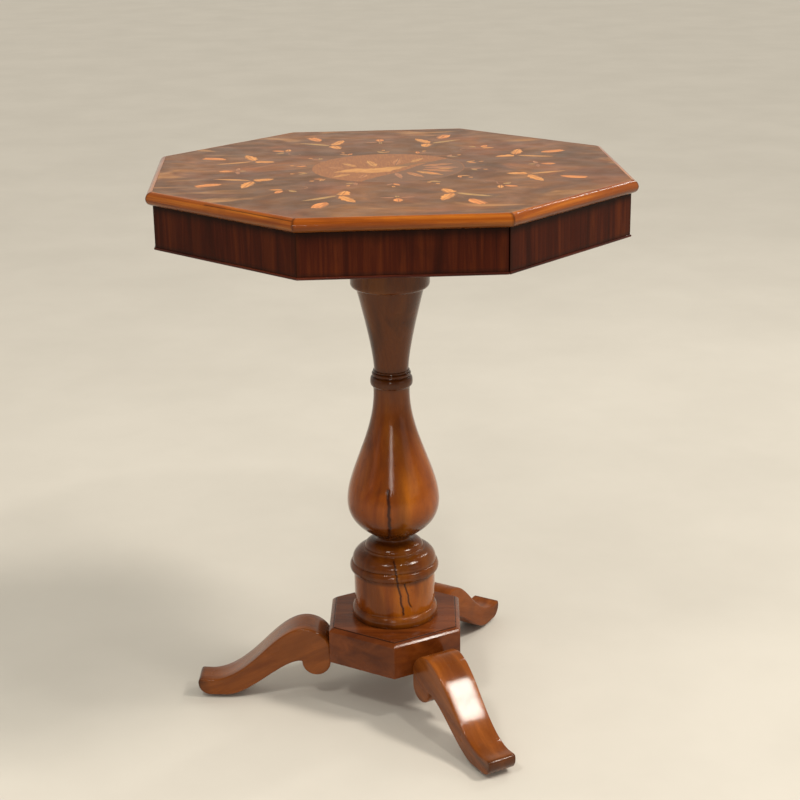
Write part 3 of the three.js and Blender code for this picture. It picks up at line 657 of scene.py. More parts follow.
# Stain and painted shade on the column: height in metres and share. The trumpet, the neck and the
# dome were stained darker than the vase and the drum; painted shade darkens the trumpet further,
# where the top shades it, and the underside of the vase.
STAIN_AND_SHADE = ((0.120, 0.6), (0.136, 0.55), (0.142, 0.2), (0.186, 0.2), (0.192, 0.62), (0.226, 0.66),
         (0.236, 0.66), (0.246, 0.86), (0.256, 0.78), (0.266, 0.62), (0.280, 0.3), (0.300, 0.04),
         (0.370, 0.05), (0.430, 0.42), (0.452, 0.54), (0.456, 0.74), (0.478, 0.76), (0.486, 0.64),
         (0.560, 0.68), (0.590, 0.7), (0.760, 0.7))


def stain_and_shade(height):
    """The share of stain and painted shade at a height on the column."""
    for (z0, a), (z1, b) in zip(STAIN_AND_SHADE, STAIN_AND_SHADE[1:]):
        if z0 <= height <= z1:
            return lerp(a, b, (height - z0) / (z1 - z0))
    return 0.0


def make_column(tree, material):
    """The turned column, with dirt and painted shade in its hollows, and the stain and painted
    shade of its parts.
    """
    points = column_outline()
    mesh = run_tree(tree, loop_mesh([p * MM for p in points], closed=False),
                    {"Segments": COLUMN_SEGMENTS, "Material": material})
    piece = finish_piece("turned_column", mesh, material, "base", ["column"], 38.0)
    # Polish and dust gather, and shade is painted, where the radius is less than that of the
    # turning around it.
    depths = []
    for p in points:
        near = [q.x for q in points if abs(q.y - p.y) < HOLLOW_REACH]
        depths.append(max(0.0, sum(near) / len(near) - p.x))
    soil = []
    for vert in mesh.vertices:
        spot = Vector((vert.co.xy.length, vert.co.z))
        nearest = min(range(len(points)), key=lambda i: (points[i] * MM - spot).length_squared)
        hollow = min(HOLLOW_DIRT_AND_SHADE, depths[nearest] / HOLLOW_DEPTH)
        soil.append(max(hollow, stain_and_shade(vert.co.z)))
    store(mesh, "soil", soil, "FLOAT")
    return piece


def make_hex_block(material):
    """The block: six flats with eased corners, a barely swelling bevel round the upper edge
    and a quirk inside it, with painted shade in the quirk."""
    low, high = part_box("hex_block")
    bottom, top = low.z / MM, high.z / MM
    rim = top - HEX_QUIRK
    rings = [(HEX_APOTHEM - 0.8, bottom), (HEX_APOTHEM - 0.2, bottom + 0.25),
             (HEX_APOTHEM, bottom + 0.8)]
    for share in (step / 8 for step in range(9)):
        swelling = 0.25 * sin(pi * share)
        rings.append((HEX_APOTHEM - HEX_OVOLO * share + swelling * 0.66,
                      rim - 4.4 * (1 - share) + swelling * 0.75))
    platform = HEX_APOTHEM - HEX_OVOLO - HEX_QUIRK_STEP
    rings += [(platform + 0.5, rim), (platform + 0.1, rim + 0.1), (platform, rim + 0.4),
              (platform - 0.1, top - 0.25), (platform - 0.4, top)]
    verts = []
    for apothem, z in rings:
        reach = (apothem - HEX_EASE) / cos(pi / 6)
        for corner in range(6):
            middle = corner * pi / 3 + pi / 6 + HEX_TURN
            for step in range(5):
                spot = polar(reach, middle) + polar(HEX_EASE, middle + (step - 2) * pi / 12)
                verts.append(Vector((*spot, z)) * MM)
    mesh = new_mesh("block", verts, [], stacked_faces(len(rings), 30))
    piece = finish_piece("hexagonal_block", mesh, material, "base",
                         ["hex_block"], 28.0)
    back = Matrix.Rotation(-HEX_TURN, 3, "Z")
    store(mesh, "grain", [back @ v.co for v in mesh.vertices])
    # Painted shade: a dark line in the quirk inside the bevel.
    quirk = (platform + 0.6) * MM / cos(pi / 6)
    store(mesh, "soil", [0.8 if rim * MM - 1e-5 < v.co.z < (top - 0.6) * MM
                         and v.co.xy.length < quirk else 0.0 for v in mesh.vertices], "FLOAT")
    return piece


def leg_outline():
    """A leg's side view in millimetres: distance from the column's axis against height."""
    back = HEX_APOTHEM + SEAT_GAP
    head_x = back + HEAD_RADIUS - HEAD_FLAT
    head_z = HEAD_TOP - HEAD_RADIUS
    lobe_x, lobe_z = back + LOBE_RADIUS, LOBE_BOTTOM + LOBE_RADIUS
    toe_x, toe_z = LEG_REACH - TOE_RADIUS, PAD_THICKNESS + TOE_RADIUS
    bend_x, bend_z = lerp(head_x, toe_x, 0.46), lerp(HEAD_TOP, TOE_TOP, 0.49)
    sole_x = toe_x - SOLE_LENGTH
    notch_x = lobe_x + LOBE_RADIUS + 2.2
    flat_angle = acos(1 - HEAD_FLAT / HEAD_RADIUS)
    line = Outline(back, lobe_z)
    line.arc(lobe_x, lobe_z, LOBE_RADIUS, pi, 2 * pi, 30)
    line.to(lobe_x + LOBE_RADIUS, NOTCH_HEIGHT, notch_x, NOTCH_HEIGHT, 6)
    line.to(lerp(notch_x, sole_x, 0.26), NOTCH_HEIGHT, lerp(notch_x, sole_x, 0.69), PAD_THICKNESS,
            sole_x, PAD_THICKNESS, 40)
    line.to(toe_x, PAD_THICKNESS, 6)
    line.arc(toe_x, toe_z, TOE_RADIUS, -pi / 2, 0, 16)
    line.to(LEG_REACH, TOE_TOP + 1, LEG_REACH - TOE_CORNER, TOE_TOP + 1, 8)
    line.to(toe_x, TOE_TOP, 3)
    line.to(lerp(bend_x, toe_x, 0.64), TOE_TOP, lerp(bend_x, toe_x, 0.31),
            lerp(bend_z, TOE_TOP, 0.53), bend_x, bend_z, 34)
    line.to(lerp(head_x, bend_x, 0.68), lerp(HEAD_TOP, bend_z, 0.5), lerp(head_x, bend_x, 0.35),
            HEAD_TOP, head_x, HEAD_TOP, 26)
    line.arc(head_x, head_z, HEAD_RADIUS, pi / 2, pi - flat_angle, 34)
    line.to(back, lobe_z, 4)
    return line.points[:-1]


def make_leg(name, turn, material, shift):
    """A sawn and shaped leg: its arrises are softened and its sides thin towards the toe."""
    outline = leg_outline()
    count = len(outline)
    tangents = [(outline[(i + 1) % count] - outline[i - 1]).normalized() for i in range(count)]
    half = LEG_HEAD_THICKNESS / 2
    rings = [(LEG_ARRIS * (1 - sin(a)), half - LEG_ARRIS * (1 - cos(a)))
             for a in (i * pi / 10 for i in range(6))]
    rings += [(0.0, half * 0.5), (0.0, 0.0)]
    rings += [(depth, -y) for depth, y in reversed(rings[:-1])]
    verts = []
    for depth, y in rings:
        for p, tangent in zip(outline, tangents):
            q = p + Vector((-tangent.y, tangent.x)) * depth
            share = (p.x - HEX_APOTHEM) / (LEG_REACH - HEX_APOTHEM)
            thinning = lerp(1.0, LEG_TOE_THICKNESS / LEG_HEAD_THICKNESS, share)
            across = y * thinning + lerp(LEG_HEAD_OFFSET, LEG_TOE_OFFSET, share)
            verts.append(Vector((q.x, across, q.y)) * MM)
    body_turn = Matrix.Rotation(turn, 3, "Z")
    mesh = new_mesh("leg", [body_turn @ v for v in verts], [], stacked_faces(len(rings), count))
    piece = finish_piece("scrolled_" + name, mesh, material, "base",
                         [name], 40.0)
    # The leg is sawn from a plank whose grain falls from head to toe.
    square = [body_turn.transposed() @ v.co for v in mesh.vertices]
    fall = Matrix.Rotation(LEG_FALL, 3, "Y")
    store(mesh, "grain", [fall @ co + Vector((shift, shift * 0.3, 0)) for co in square])
    # The end of the toe is dark with dirt from the floor.
    past = [co.x / MM - LEG_REACH + TOE_DIRT_LENGTH for co in square]
    soil = [min(TOE_DIRT, max(0.0, reach / TOE_DIRT_FADE)) for reach in past]
    store(mesh, "soil", soil, "FLOAT")
    return piece


# ---------------- the top

def octagon(half):
    """The corners of an octagon of this half width."""
    return [polar(half / cos(HALF_CORNER), (2 * k + 1) * HALF_CORNER) for k in range(SIDES)]


def make_strips(tree, name, node, section, material, opening, stations, wander, seed):
    """Eight mitred strips of one section, which stand for the eight solids of one name."""
    mesh = run_tree(tree, loop_mesh(section.points),
                    {"Sides": SIDES, "Mitre Gap": MITRE_GAP * MM, "Open Mitre": opening * MM,
                     "Stations": stations, "Wander": wander * MM, "Seed": seed,
                     "Material": material})
    names = [f"{node}_{i + 1}" for i in range(SIDES)]
    return finish_piece(name, mesh, material, "top", names, 50.0)


def make_edge_moulding(tree, material):
    """The half-round nosing round the top, with one old crack."""
    low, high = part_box("edge_moulding_1")
    radius = (high.z - low.z) / 2
    nose = Outline(-high.y, low.z)
    nose.arc(-high.y, low.z + radius, radius, -pi / 2, pi / 2, 24)
    piece = make_strips(tree, "nosing", "edge_moulding", nose, material,
                        opening=0.0, stations=90, wander=0.25, seed=3.0)
    # Painted shade darkens the lower half of the nosing; its mitres are dark with old polish.
    darken_joints_and_paint_shade(piece, low.z, low.z + radius)
    # The crack runs along the left front strip to its mitre.
    crack = low.z + radius * (1 + sin(pi / 4))
    for vert, grime in zip(piece.data.vertices, piece.data.attributes["soil"].data):
        turn = degrees(atan2(vert.co.y, vert.co.x))
        if CRACK_FROM < turn < CRACK_TO and abs(vert.co.z - crack) < CRACK_HALF:
            grime.value = CRACK_DIRT
    return piece


def make_apron(tree, material):
    """The veneered boards under the top, one of whose mitres has opened."""
    low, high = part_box("apron_panel_1")
    inner, outer = -high.y, -low.y
    ease = 0.5 * MM
    board = Outline(inner, low.z)
    board.to(outer - ease, low.z).to(outer, low.z, outer, low.z + ease, 3)
    board.to(outer, high.z, 10).to(inner, high.z)
    piece = make_strips(tree, "apron", "apron_panel", board, material,
                        opening=OPEN_MITRE - MITRE_GAP / 2, stations=60, wander=0.2, seed=11.0)
    # A painted shadow from the nosing darkens the top of the boards, and painted shade their lowest
    # edge; the mitres are dark with old polish.
    return darken_joints_and_paint_shade(piece, low.z, low.z + 2 * MM, high.z, high.z - 12 * MM)


def make_apron_bead(tree, material):
    """The small bead under the boards."""
    low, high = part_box("apron_bead_1")
    radius = (high.z - low.z) / 2
    bead, front = Outline(-high.y, low.z), -low.y - radius
    bead.to(front, low.z).arc(front, low.z + radius, radius, -pi / 2, pi / 2, 12)
    bead.to(-high.y, high.z)
    return make_strips(tree, "apron_bead", "apron_bead", bead, material,
                       opening=OPEN_MITRE - MITRE_GAP / 2, stations=60, wander=0.15, seed=23.0)


def darken_joints_and_paint_shade(piece, low, under, high=0.0, over=0.0):
    """Old polish is dark in the mitres. Painted shade darkens the piece below the height `under`
    down to the lower edge `low`, and, if `high` is given, a painted shadow darkens it above `over`
    up to that upper edge."""
    soil = []
    for vert in piece.data.vertices:
        x, y, z = vert.co
        off = abs((atan2(y, x) / HALF_CORNER) % 2 - 1) * HALF_CORNER * hypot(x, y)
        mitre = MITRE_DIRT * max(0.0, 1 - off / (MITRE_DIRT_WIDTH * MM))
        below = LOWER_SHADE * min(1.0, max(0.0, (under - z) / (under - low))) ** 0.7
        above = UPPER_SHADOW * min(1.0, max(0.0, (z - over) / (high - over))) if high else 0.0
        soil.append(max(mitre, below, above))
    store(piece.data, "soil", soil, "FLOAT")
    return piece


# ---------------- marquetry

def lay(plan, points, timber, origin, angle, lined=True):
    """Let a shape into the plan, over those before it, in millimetres. It is turned, then
    moved; a hairline of glue shows round it."""
    turn = Matrix.Rotation(angle, 2)
    placed = [turn @ p + origin for p in points]
    if lined:
        plan.append((swell(placed, GLUE_LINE), "glue", origin, angle))
    plan.append((placed, timber, origin, angle))


def turns_left(points):
    """Whether an outline runs anticlockwise."""
    return sum(p.cross(q) for p, q in zip(points, points[1:] + points[:1])) > 0


def swell(points, by):
    """The outline moved outwards by a small amount."""
    after = points[1:] + points[:1]
    sign = 1 if turns_left(points) else -1
    moved = []
    for i, p in enumerate(points):
        tangent = after[i] - points[i - 1]
        if tangent.length > 1e-6:
            tangent.normalize()
            p = p + Vector((tangent.y, -tangent.x)) * by * sign
        moved.append(p)
    return moved


def leaf(length, width, belly=0.42, bend=0.0, full=0.85, steps=9, lobes=0):
    """A pointed leaf from its foot at the origin to its tip on +x, toothed if it has lobes."""
    power = log(0.5) / log(belly)
    upper, lower = [], []
    for i in range(1, steps):
        t = i / steps
        spread = width / 2 * sin(pi * t ** power) ** full
        spread *= 1 - 0.3 * abs(sin(pi * lobes * t))
        middle = bend * sin(pi * t)
        upper.append(Vector((length * t, middle + spread)))
        lower.append(Vector((length * t, middle - spread)))
    return [Vector((0, 0))] + lower + [Vector((length, 0))] + upper[::-1]


def halves(length, width, half, tip=()):
    """A shape that is the same on both sides of its length, from one half in shares."""
    right = [Vector((length * t, -width / 2 * w)) for t, w in half]
    return right + list(tip) + [Vector((p.x, -p.y)) for p in reversed(right) if p.y]


def bud(length, width):
    """A tulip bud: a pointed foot, full cheeks and a three-pointed mouth."""
    return halves(length, width, [(0.0, 0.0), (0.10, 0.42), (0.26, 0.84), (0.45, 1.0), (0.66, 0.94),
                                  (0.84, 0.78), (0.97, 0.66), (0.90, 0.30), (1.0, 0.0)])


def ivy(length, width):
    """A broad leaf with two shoulders."""
    return halves(length, width, [(0.0, 0.08), (0.08, 0.62), (0.22, 1.0), (0.38, 0.70),
                                  (0.55, 0.80), (0.72, 0.62), (0.86, 0.34)],
                  tip=[Vector((length, 0))])


def ribbon(course, widths, lobes=0, depth=0.0, steps=28):
    """A band of changing width along a smooth course; its edges may be lobed like acanthus."""
    spine = smooth(course, steps)
    left, right = [], []
    for i, p in enumerate(spine):
        t = i / (len(spine) - 1)
        tangent = (spine[min(i + 1, len(spine) - 1)] - spine[max(i - 1, 0)]).normalized()
        across = Vector((-tangent.y, tangent.x))
        place = t * (len(widths) - 1)
        k = min(int(place), len(widths) - 2)
        width = lerp(widths[k], widths[k + 1], place - k)
        width *= 1 - depth * abs(sin(pi * lobes * t)) if lobes else 1
        left.append(p + across * width)
        right.append(p - across * width)
    return right + left[::-1]


def smooth(course, steps):
    """Points on a smooth curve through the given ones."""
    knots = [Vector(p) for p in course]
    padded = [2 * knots[0] - knots[1]] + knots + [2 * knots[-1] - knots[-2]]
    points = []
    spans = len(knots) - 1
    for i in range(steps + 1):
        place = min(i / steps * spans, spans - 1e-6)
        k = int(place)
        t = place - k
        a, b, c, d = padded[k:k + 4]
        points.append(0.5 * ((2 * b) + (c - a) * t + (2 * a - 5 * b + 4 * c - d) * t * t
                             + (3 * b - a - 3 * c + d) * t ** 3))
    return points


# The sprig on each diagonal, and the leaves of the round panel: distance along and across
# from the middle, angle, length, width and timber.
SPRIG = ((190, -2, 0.35, 19, 9, "pear"), (186, -4, -0.9, 18, 8, "box"),
         (184, 4, 1.5, 15, 7, "olive"))
SPRIG_CURL = ((186, 0), (176, 3), (168, 11), (158, 10), (156, 2), (162, -1))
PANEL_LEAVES = (
    (44, 6, 0.25, 44, 15, "padauk"), (46, -6, -0.08, 46, 17, "plum"),
    (42, -18, -0.42, 46, 16, "padauk"), (34, -28, -0.78, 46, 15, "shell"),
    (22, -34, -1.12, 44, 13, "padauk"), (8, -38, -1.45, 38, 10, "plum"),
    (62, -14, -0.30, 22, 9, "shell"), (46, -38, -0.72, 22, 8, "pear"),
    (-50, -38, -2.4, 32, 13, "shell"), (-30, -42, -1.9, 30, 11, "padauk"),
    (-56, -2, 2.5, 28, 10, "padauk"), (-40, 8, 2.1, 36, 11, "shell"),
    (-16, 8, 1.75, 46, 14, "shell"), (10, 16, 1.4, 46, 14, "padauk"),
    (32, 34, 1.0, 34, 10, "shell"))


def draw_quarter(plan, quarter):
    """Two sprays, the flower between them and a sprig, about one axis of the top."""
    outward = quarter * pi / 2
    turn = Matrix.Rotation(outward, 2)

    def place(shape, timber, a, b, angle):
        lay(plan, shape, timber, turn @ Vector((a, b)), outward + angle)

    for side in (-1, 1):
        stalk = ribbon([(0, 0), (14, side * 5), (34, side * 12)], [0.5, 0.35, 0.25], steps=8)
        place(stalk, "plum", 172, side * 66, 0.0)
        place(bud(36, 18), "pear", 209, side * 84, side * 0.38)
        slender, broad = leaf(52, 9, bend=-side * 1.5), leaf(45, 18, steps=16, lobes=4)
        if quarter % 2:
            place(broad, "box", 174, side * 67, -side * 0.38)
            place(slender, "olive", 172, side * 70, side * 1.02)
        else:
            place(slender, "shell", 174, side * 66, -side * 0.30)
            place(broad, "box", 172, side * 71, side * 1.30)
        place(ivy(27, 19), "box", 171, side * 65, pi + side * 0.25)
    # Flower on the axis.
    place(leaf(21, 12, belly=0.55), "pear", 196, 0, 0.0)
    place(leaf(19, 6), "plum", 193, 3, pi / 2 + 0.12)
    place(leaf(19, 6), "plum", 193, -3, -pi / 2 - 0.12)
    place(leaf(11, 5), "olive", 191, 0, pi)
    # Sprig on the diagonal.
    corner = pi / 4
    diagonal = Matrix.Rotation(corner, 2)
    for a, b, angle, length, width, timber in SPRIG:
        place(leaf(length, width), timber, *(diagonal @ Vector((a, b))), corner + angle)
    curl = [diagonal @ Vector(p) for p in SPRIG_CURL]
    place(ribbon(curl, [0.5, 0.8, 0.6, 0.3], steps=22), "plum", 0, 0, 0.0)


def draw_wreath(plan):
    """Small leaves in threes, in a ring round the panel."""
    for k in range(WREATH_SPRIGS):
        angle = (k + 0.5) * tau / WREATH_SPRIGS
        out = polar(1, angle)
        lay(plan, leaf(17, 6.0), ("shell", "plum", "pear", "olive")[k % 4], out * 106, angle + 0.5)
        lay(plan, leaf(13, 5.0), ("pear", "olive", "plum", "shell")[k % 4], out * 108, angle - 0.8)
        lay(plan, leaf(9, 4.5, belly=0.6), "box", out * 121, angle - 0.1)


def draw_panel(plan):
    """The round panel: pale ground, a darker half, and a leafy scroll between them."""
    middle = Vector((0, 0))
    rim = Outline(PANEL_RADIUS, 0).arc(0, 0, PANEL_RADIUS, 0, tau, 96)
    lay(plan, rim.points[:-1], "satin", middle, pi / 2)
    shade = Outline(-55, -80)
    shade.to(-30, -52, -4, -46, 22, -18, 14).to(44, 4, 62, 24, 90, 36, 14)
    shade.arc(0, 0, PANEL_RADIUS - 1, radians(18), radians(-122), 40)
    lay(plan, shade.points, "shade", middle, 0.2, lined=False)
    scroll = ribbon([(-70, -24), (-44, -16), (-14, -18), (12, 2), (34, 24), (70, 36)],
                    [2.0, 15.0, 18.0, 10.0, 5.5, 0.8], lobes=9, depth=0.22, steps=72)
    lay(plan, scroll, "shell", middle, 0.0)
    for a, b, angle, length, width, timber in PANEL_LEAVES:
        shape = leaf(length, width, steps=14, lobes=3)
        lay(plan, shape, timber, Vector((a, b)), angle, lined=False)


def draw_marquetry():
    """Eight sprays in pairs, a flower on each axis, a sprig on each diagonal, a wreath of
    small leaves and a round panel with a leafy scroll."""
    plan = []
    for quarter in range(4):
        draw_quarter(plan, quarter)
    draw_wreath(plan)
    draw_panel(plan)
    return plan


def make_marquetry(timbers):
    """Saw the plan into one flat sheet: every triangle takes the timber that lies uppermost."""
    low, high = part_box("top_veneer")
    rim = octagon(high.x)
    shapes = [([p / MM for p in rim], "field", Vector((0, 0)), 0.0)] + draw_marquetry()
    points, loops = [], []
    for outline, *_ in shapes:
        loop = list(range(len(points), len(points) + len(outline)))
        loops.append(loop if turns_left(outline) else loop[::-1])
        points += outline
    cut_points, _, cut_faces, _, _, owners = delaunay_2d_cdt(points, [], loops, 0, 1e-3)
    names = list(timbers)
    # The rim's corners are the first points of the cut sheet.
    verts = [(p.x * MM, p.y * MM, high.z) for p in cut_points]
    base = len(verts)
    verts += [(c.x, c.y, low.z) for c in rim]
    faces, timber_of, corners = [], [], []
    for face, layers in zip(cut_faces, owners):
        top = max(layers)
        _, timber, origin, angle = shapes[top]
        unturn = Matrix.Rotation(-angle, 2)
        faces.append(tuple(face))
        timber_of.append(names.index(timber))
        for i in face:
            local = unturn @ (cut_points[i] - origin)
            corners.append(Vector((local.x * MM, local.y * MM, top * LEAF_STEP)))
    for k in range(SIDES):
        n = (k + 1) % SIDES
        faces.append((k, base + k, base + n, n))
    faces.append(tuple(base + k for k in reversed(range(SIDES))))
    for face in faces[len(cut_faces):]:
        timber_of.append(0)
        corners += [Vector((0, 0, 0))] * len(face)
    mesh = new_mesh("marquetry", verts, [], faces)
    for name in names:
        mesh.materials.append(timbers[name])
    mesh.polygons.foreach_set("material_index", timber_of)
    store(mesh, "grain", corners, domain="CORNER")
    return finish_piece("marquetry", mesh, None, "top", ["top_veneer"], 30.0,
                        merge=False)


# ---------------- screws

def slotted_screw(length):
    """One countersunk screw pointing up, its head at the origin, with a sawn slot."""
    head, shank, drop = 4.2, 2.0, 2.6
    profile = [(head - 0.2, 0), (head, 0.2), (head, 0.5), (shank, drop), (shank, length - 4),
               (0.2, length)]
    per = 24
    verts = [Vector((*polar(r, i * tau / per), z)) * MM for r, z in profile for i in range(per)]
    blank = put("screw_blank", new_mesh("screw", verts, [], stacked_faces(len(profile), per)))
    saw = bpy.data.meshes.new("saw")
    work = bmesh.new()
    bmesh.ops.create_cube(work, size=1.0,
                          matrix=Matrix.Diagonal((SLOT_LENGTH, SLOT_WIDTH, SLOT_DEPTH, 1.0)))
    work.to_mesh(saw)
    work.free()
    blade = put("screw_slot", saw)
    cut = blank.modifiers.new("slot", "BOOLEAN")
    cut.operation, cut.object = "DIFFERENCE", blade
    slotted = evaluated(blank)
    bpy.data.objects.remove(blade)
    return bpy.data.objects.new("slotted_screw", slotted)


def drive_screws(tree, name, group, length, tilt, seed, material, body):
    """Screws at the heads of the CAD screws in the group, all of one body."""
    heads = []
    for low, high in map(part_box, group):
        middle = (low + high) / 2
        heads.append((middle.x, low.y, middle.z) if tilt else (middle.x, middle.y, low.z))
    pattern = slotted_screw(length)
    result = run_tree(tree, new_mesh(name, heads, [], []),
                      {"Screw": pattern, "Tilt": tilt, "Seed": seed, "Material": material})
    bpy.data.objects.remove(pattern)
    return finish_piece(name, result, material, body, group, 30.0)


# ---------------- the scene

def finish_frame_nodes(finishes):
    """Give each node of the solids the finish of the first prefix that fits its name."""
    for name, node in nodes.items():
        for prefix, material in finishes:
            if name.startswith(prefix):
                node.data.materials.clear()
                node.data.materials.append(material)
                break


def make_floor():
    """The floor that the table stands on."""
    corners = [(x * FLOOR_REACH, y * FLOOR_REACH, 0)
               for x, y in ((-1, -1), (1, -1), (1, 1), (-1, 1))]
    mesh = new_mesh("floor", corners, [], [(0, 1, 2, 3)])
    mesh.materials.append(floor_finish())
    floor = put("floor", mesh)


def make_world():
    """A pale room: brighter overhead and at the back, dim in front, as a room with high windows."""
    world = bpy.data.worlds.new("room")
    bpy.context.scene.world = world
    add = adder(world)
    rays = add("LightPath").outputs
    looked = add("Math MAXIMUM", rays["Is Camera Ray"], rays["Is Transmission Ray"])
    seen = add("Math MAXIMUM", looked, rays["Is Glossy Ray"])
    toward = add("TexCoord").outputs["Generated"]
    lean = add("VectorMath DOT_PRODUCT", toward, (0.06, 0.04, 0.86)).outputs["Value"]
    light = add("Background", colour("fff9ee"), add("Math ADD", lean, 0.15))
    rise = add("SeparateXYZ", toward)
    fade = add("MapRange SMOOTHSTEP", rise.outputs[2], 0.1, 0.75, 1.0, 0.35)
    # Polish that faces the front sees the dim side of the room.
    behind = add("MapRange SMOOTHSTEP", rise.outputs[1], -0.7, 0.4, 0.35, 1.0)
    strength = add("Math MULTIPLY", fade, add("Math MAXIMUM", behind, looked))
    backdrop = add("Background", colour("dcd7cb"), strength)
    add("OutputWorld", add("MixShader", seen, light, backdrop))


bpy.context.scene.view_settings.view_transform = "Standard"
place_camera()
make_world()
make_floor()
place_sun("window", (0.594, -0.19, 0.778), 1.05, 12.6, "fff6ea")
# Name, direction, distance, width and height in metres, watts, tint and turn.
for lamp in (("window_bar", (0.636, -0.258, 0.726), 3.9, 0.4, 0.9, 38.0, "fff6ea", -43.3),
             ("front_light", (-0.139, -0.97, 0.28), 2.6, 0.22, 0.6, 8.0, "fff8ee"),
             ("right_fill", (0.78, -0.58, 0.22), 2.6, 1.3, 1.1, 3.0, "fff6ea"),
             ("side_light", (-0.906, -0.42, 0.30), 2.4, 0.5, 0.9, 0.5, "f8f8ff"),
             ("rear_strip", (0.59, 0.53, 0.61), 2.6, 0.10, 0.9, 8.0, "fffaf2"),
             ("ceiling_light_left", (-0.34, -0.54, 0.77), 2.3, 0.34, 0.24, 12.0, "fffaf0"),
             ("ceiling_light_right", (0.30, -0.42, 0.86), 2.3, 0.15, 0.11, 9.0, "fffaf0")):
    place_lamp(*lamp)

# What the woods of one kind share; the rest is said for each.
french_polish = {"coat_roughness": 0.05, "gloss": 1.42, "soiled_and_shaded": True}
stand = {"fibre": 0.2, "roughness": 0.24, **french_polish}
leg = {"band": 18.0, "run": 190.0, "cloud": 45.0, "shadow": "4a240c", "pores": 0.25}
bare_pine = {"own_grain": False, "band": 6.0, "run": 260.0, "shadow": "6b4f2c", "shadow_share": 0.2,
             "fibre": 0.25, "pores": 0.1, "coat": 0.0, "relief": 3.0}
plain_sawn = {"scorched": False, "vein": False}
# Drying splits: distance from the middle, foot, head, width and lean.
splits = ((-8.4 * MM, 0.246, 0.329, 3.2 * MM, -0.02), (9.2 * MM, 0.139, 0.222, 2.1 * MM, -0.155),
          (19.0 * MM, 0.150, 0.192, 1.7 * MM, -0.21))

# Fruitwood planed half round and french polished: amber and glossy.
nosing_wood = wood("polished_fruitwood", "6e310a", "914a0f", "b0671c", band=7.0, run=220.0,
                   cloud=40.0, shadow="6a3210", shadow_share=0.35, fibre=0.2, pores=0.25,
                   roughness=0.26, coat_roughness=0.06, gloss=1.4, soiled_and_shaded=True)
# Sawn rosewood veneer, upright and barely polished: nearly black, with thin red streaks.
apron_wood = wood("upright_rosewood_veneer", "280c04", "3c1407", "54240c", along=2, band=16.0,
                  run=320.0, cloud=36.0, swirl=0.9, shadow="240a04", fibre=0.15, pores=0.2,
                  roughness=0.38, coat=0.12, soiled_and_shaded=True)
# The same wood planed lengthwise: a finer figure and a little more shine.
bead_wood = wood("rosewood_bead", "2a110a", "43190e", "5c2814", band=4.0, run=120.0,
                 shadow="1b0a06")
# Walnut turned and french polished: broad brown clouds in amber under a hard shine.
column_wood = wood("turned_walnut", "7a360a", "9a4e0c", "b46616", along=2, own_grain=False,
                   band=46.0, run=300.0, cloud=60.0, swirl=1.0, shadow="401c08", shadow_share=0.45,
                   pores=0.25, coat=0.62, worm=21.0, splits=splits, **stand)
# Darker walnut, planed flat and polished: an even red brown with sharp reflections.
block_wood = wood("polished_walnut_block", "55260c", "683210", "7a3e17", band=16.0, run=190.0,
                  cloud=50.0, shadow="3a1a0c", pores=0.2, coat=0.5, **stand)
# Walnut sawn and shaved to shape, then polished: the figure runs down each leg.
leg_wood = wood("shaped_walnut", "6e3610", "804416", "92501e", coat=0.7, **leg, **stand)
# The back leg's polish has worn: the same wood, soft and dull.
dull_leg_wood = wood("dulled_walnut", "6a340f", "7a3e14", "8c4c1c", fibre=0.2, roughness=0.34,
                     coat=0.15, coat_roughness=0.2, soiled_and_shaded=True, **leg)
# Beech and pine out of sight, planed or sawn and left bare: dry, pale and yellowed.
beech = wood("aged_beech", "7a5733", "916c44", "a5825a", own_grain=False, band=8.0, run=140.0,
             shadow="5a3c20", shadow_share=0.2, fibre=0.25, pores=0.35, roughness=0.6, coat=0.1,
             relief=2.0)
pine = wood("aged_pine", "8a6c42", "a98a5c", "bd9f70", roughness=0.75, **bare_pine)
pine_upright = wood("aged_pine_block", "846640", "a38457", "b8996a", along=2, roughness=0.75,
                    **bare_pine)
pine_bearer = wood("aged_pine_bearer", "7e6038", "9c7c4e", "b09062", along=1, roughness=0.7,
                   **bare_pine)
# Brass filed and gone dull; turned steel gone brown in spots.
brass = metal("dulled_brass", "a88848", "644c26", 0.36)
steel = metal("aged_steel", "8c8c88", "5a4a3c", 0.42)

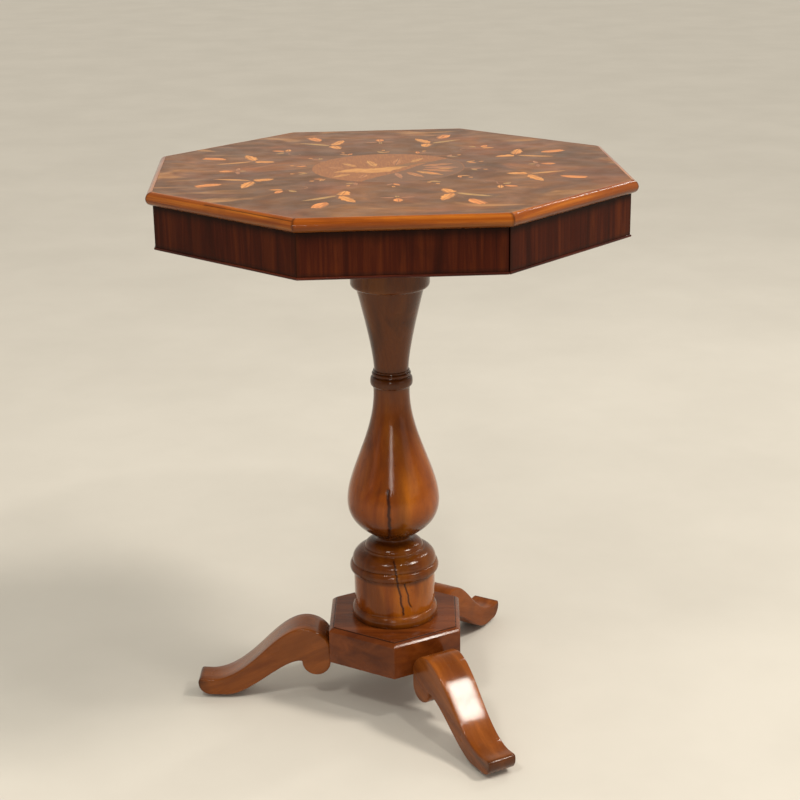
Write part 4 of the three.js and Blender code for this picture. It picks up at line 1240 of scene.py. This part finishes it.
# Veneers sawn thin: warm pale leaves, brown along one scorched edge, in a dark ground.
timbers = {
    "field": walnut_ground(),
    "glue": inlay("glue_line", "2a1a0e", "342012", "3e2816", **plain_sawn),
    "box": inlay("boxwood_leaf", "ae6426", "ca8238", "dc9c54"),
    "pear": inlay("pearwood_leaf", "ac6026", "cb7a35", "e09450"),
    "olive": inlay("stained_sycamore_leaf", "8a6030", "a87c42", "be9658"),
    "plum": inlay("plumwood_leaf", "7e4c2e", "96603c", "ac744c", **plain_sawn),
    "shell": inlay("satinwood_leaf", "9a5e28", "b67a3a", "cc9450"),
    "satin": inlay("satinwood_panel", "7e471a", "8b5120", "9a6026", **plain_sawn),
    "padauk": inlay("padauk_leaf", "8a5228", "a06434", "b47846", scorched=False),
    "shade": inlay("red_walnut_panel", "5e3b20", "6c4529", "7b5132", **plain_sawn),
}

ring = mitred_ring_tree()
make_marquetry(timbers)
make_edge_moulding(ring, nosing_wood)
make_apron(ring, apron_wood)
make_apron_bead(ring, bead_wood)
make_column(turning_tree(), column_wood)
make_hex_block(block_wood)
for name, third, walnut, shift in (("leg_back", 1, dull_leg_wood, 0.0),
                                   ("leg_left", 3, leg_wood, 0.4),
                                   ("leg_front", 5, leg_wood, 0.8)):
    make_leg(name, third * pi / 3 + HEX_TURN, walnut, shift)

screws = screws_tree()
screw_low, screw_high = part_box("bearer_screw_1")
for name, count, length, tilt, seed, finish, body, slot in (
        ("bearer_screw", 4, (screw_high.z - screw_low.z) / MM, 0.0, 4, steel, "top", "steel"),
        ("catch_screw", 2, 11.0, 0.0, 7, brass, "top", "brass"),
        ("keeper_screw", 2, 12.0, -pi / 2, 9, brass, "base", "brass")):
    drive_screws(screws, name + "s", [f"{name}_{i + 1}" for i in range(count)], length, tilt, seed,
                 finish, body)
finish_frame_nodes([("top_board", pine), ("corner_block", pine_upright),
                    ("bearer_left", pine_bearer), ("bearer_right", pine_bearer),
                    ("pivot_block", beech), ("pivot_pin", steel), ("catch", brass),
                    ("column_", beech), ("foot_pad", worn_leather())])

for tree in list(bpy.data.node_groups):
    bpy.data.node_groups.remove(tree)
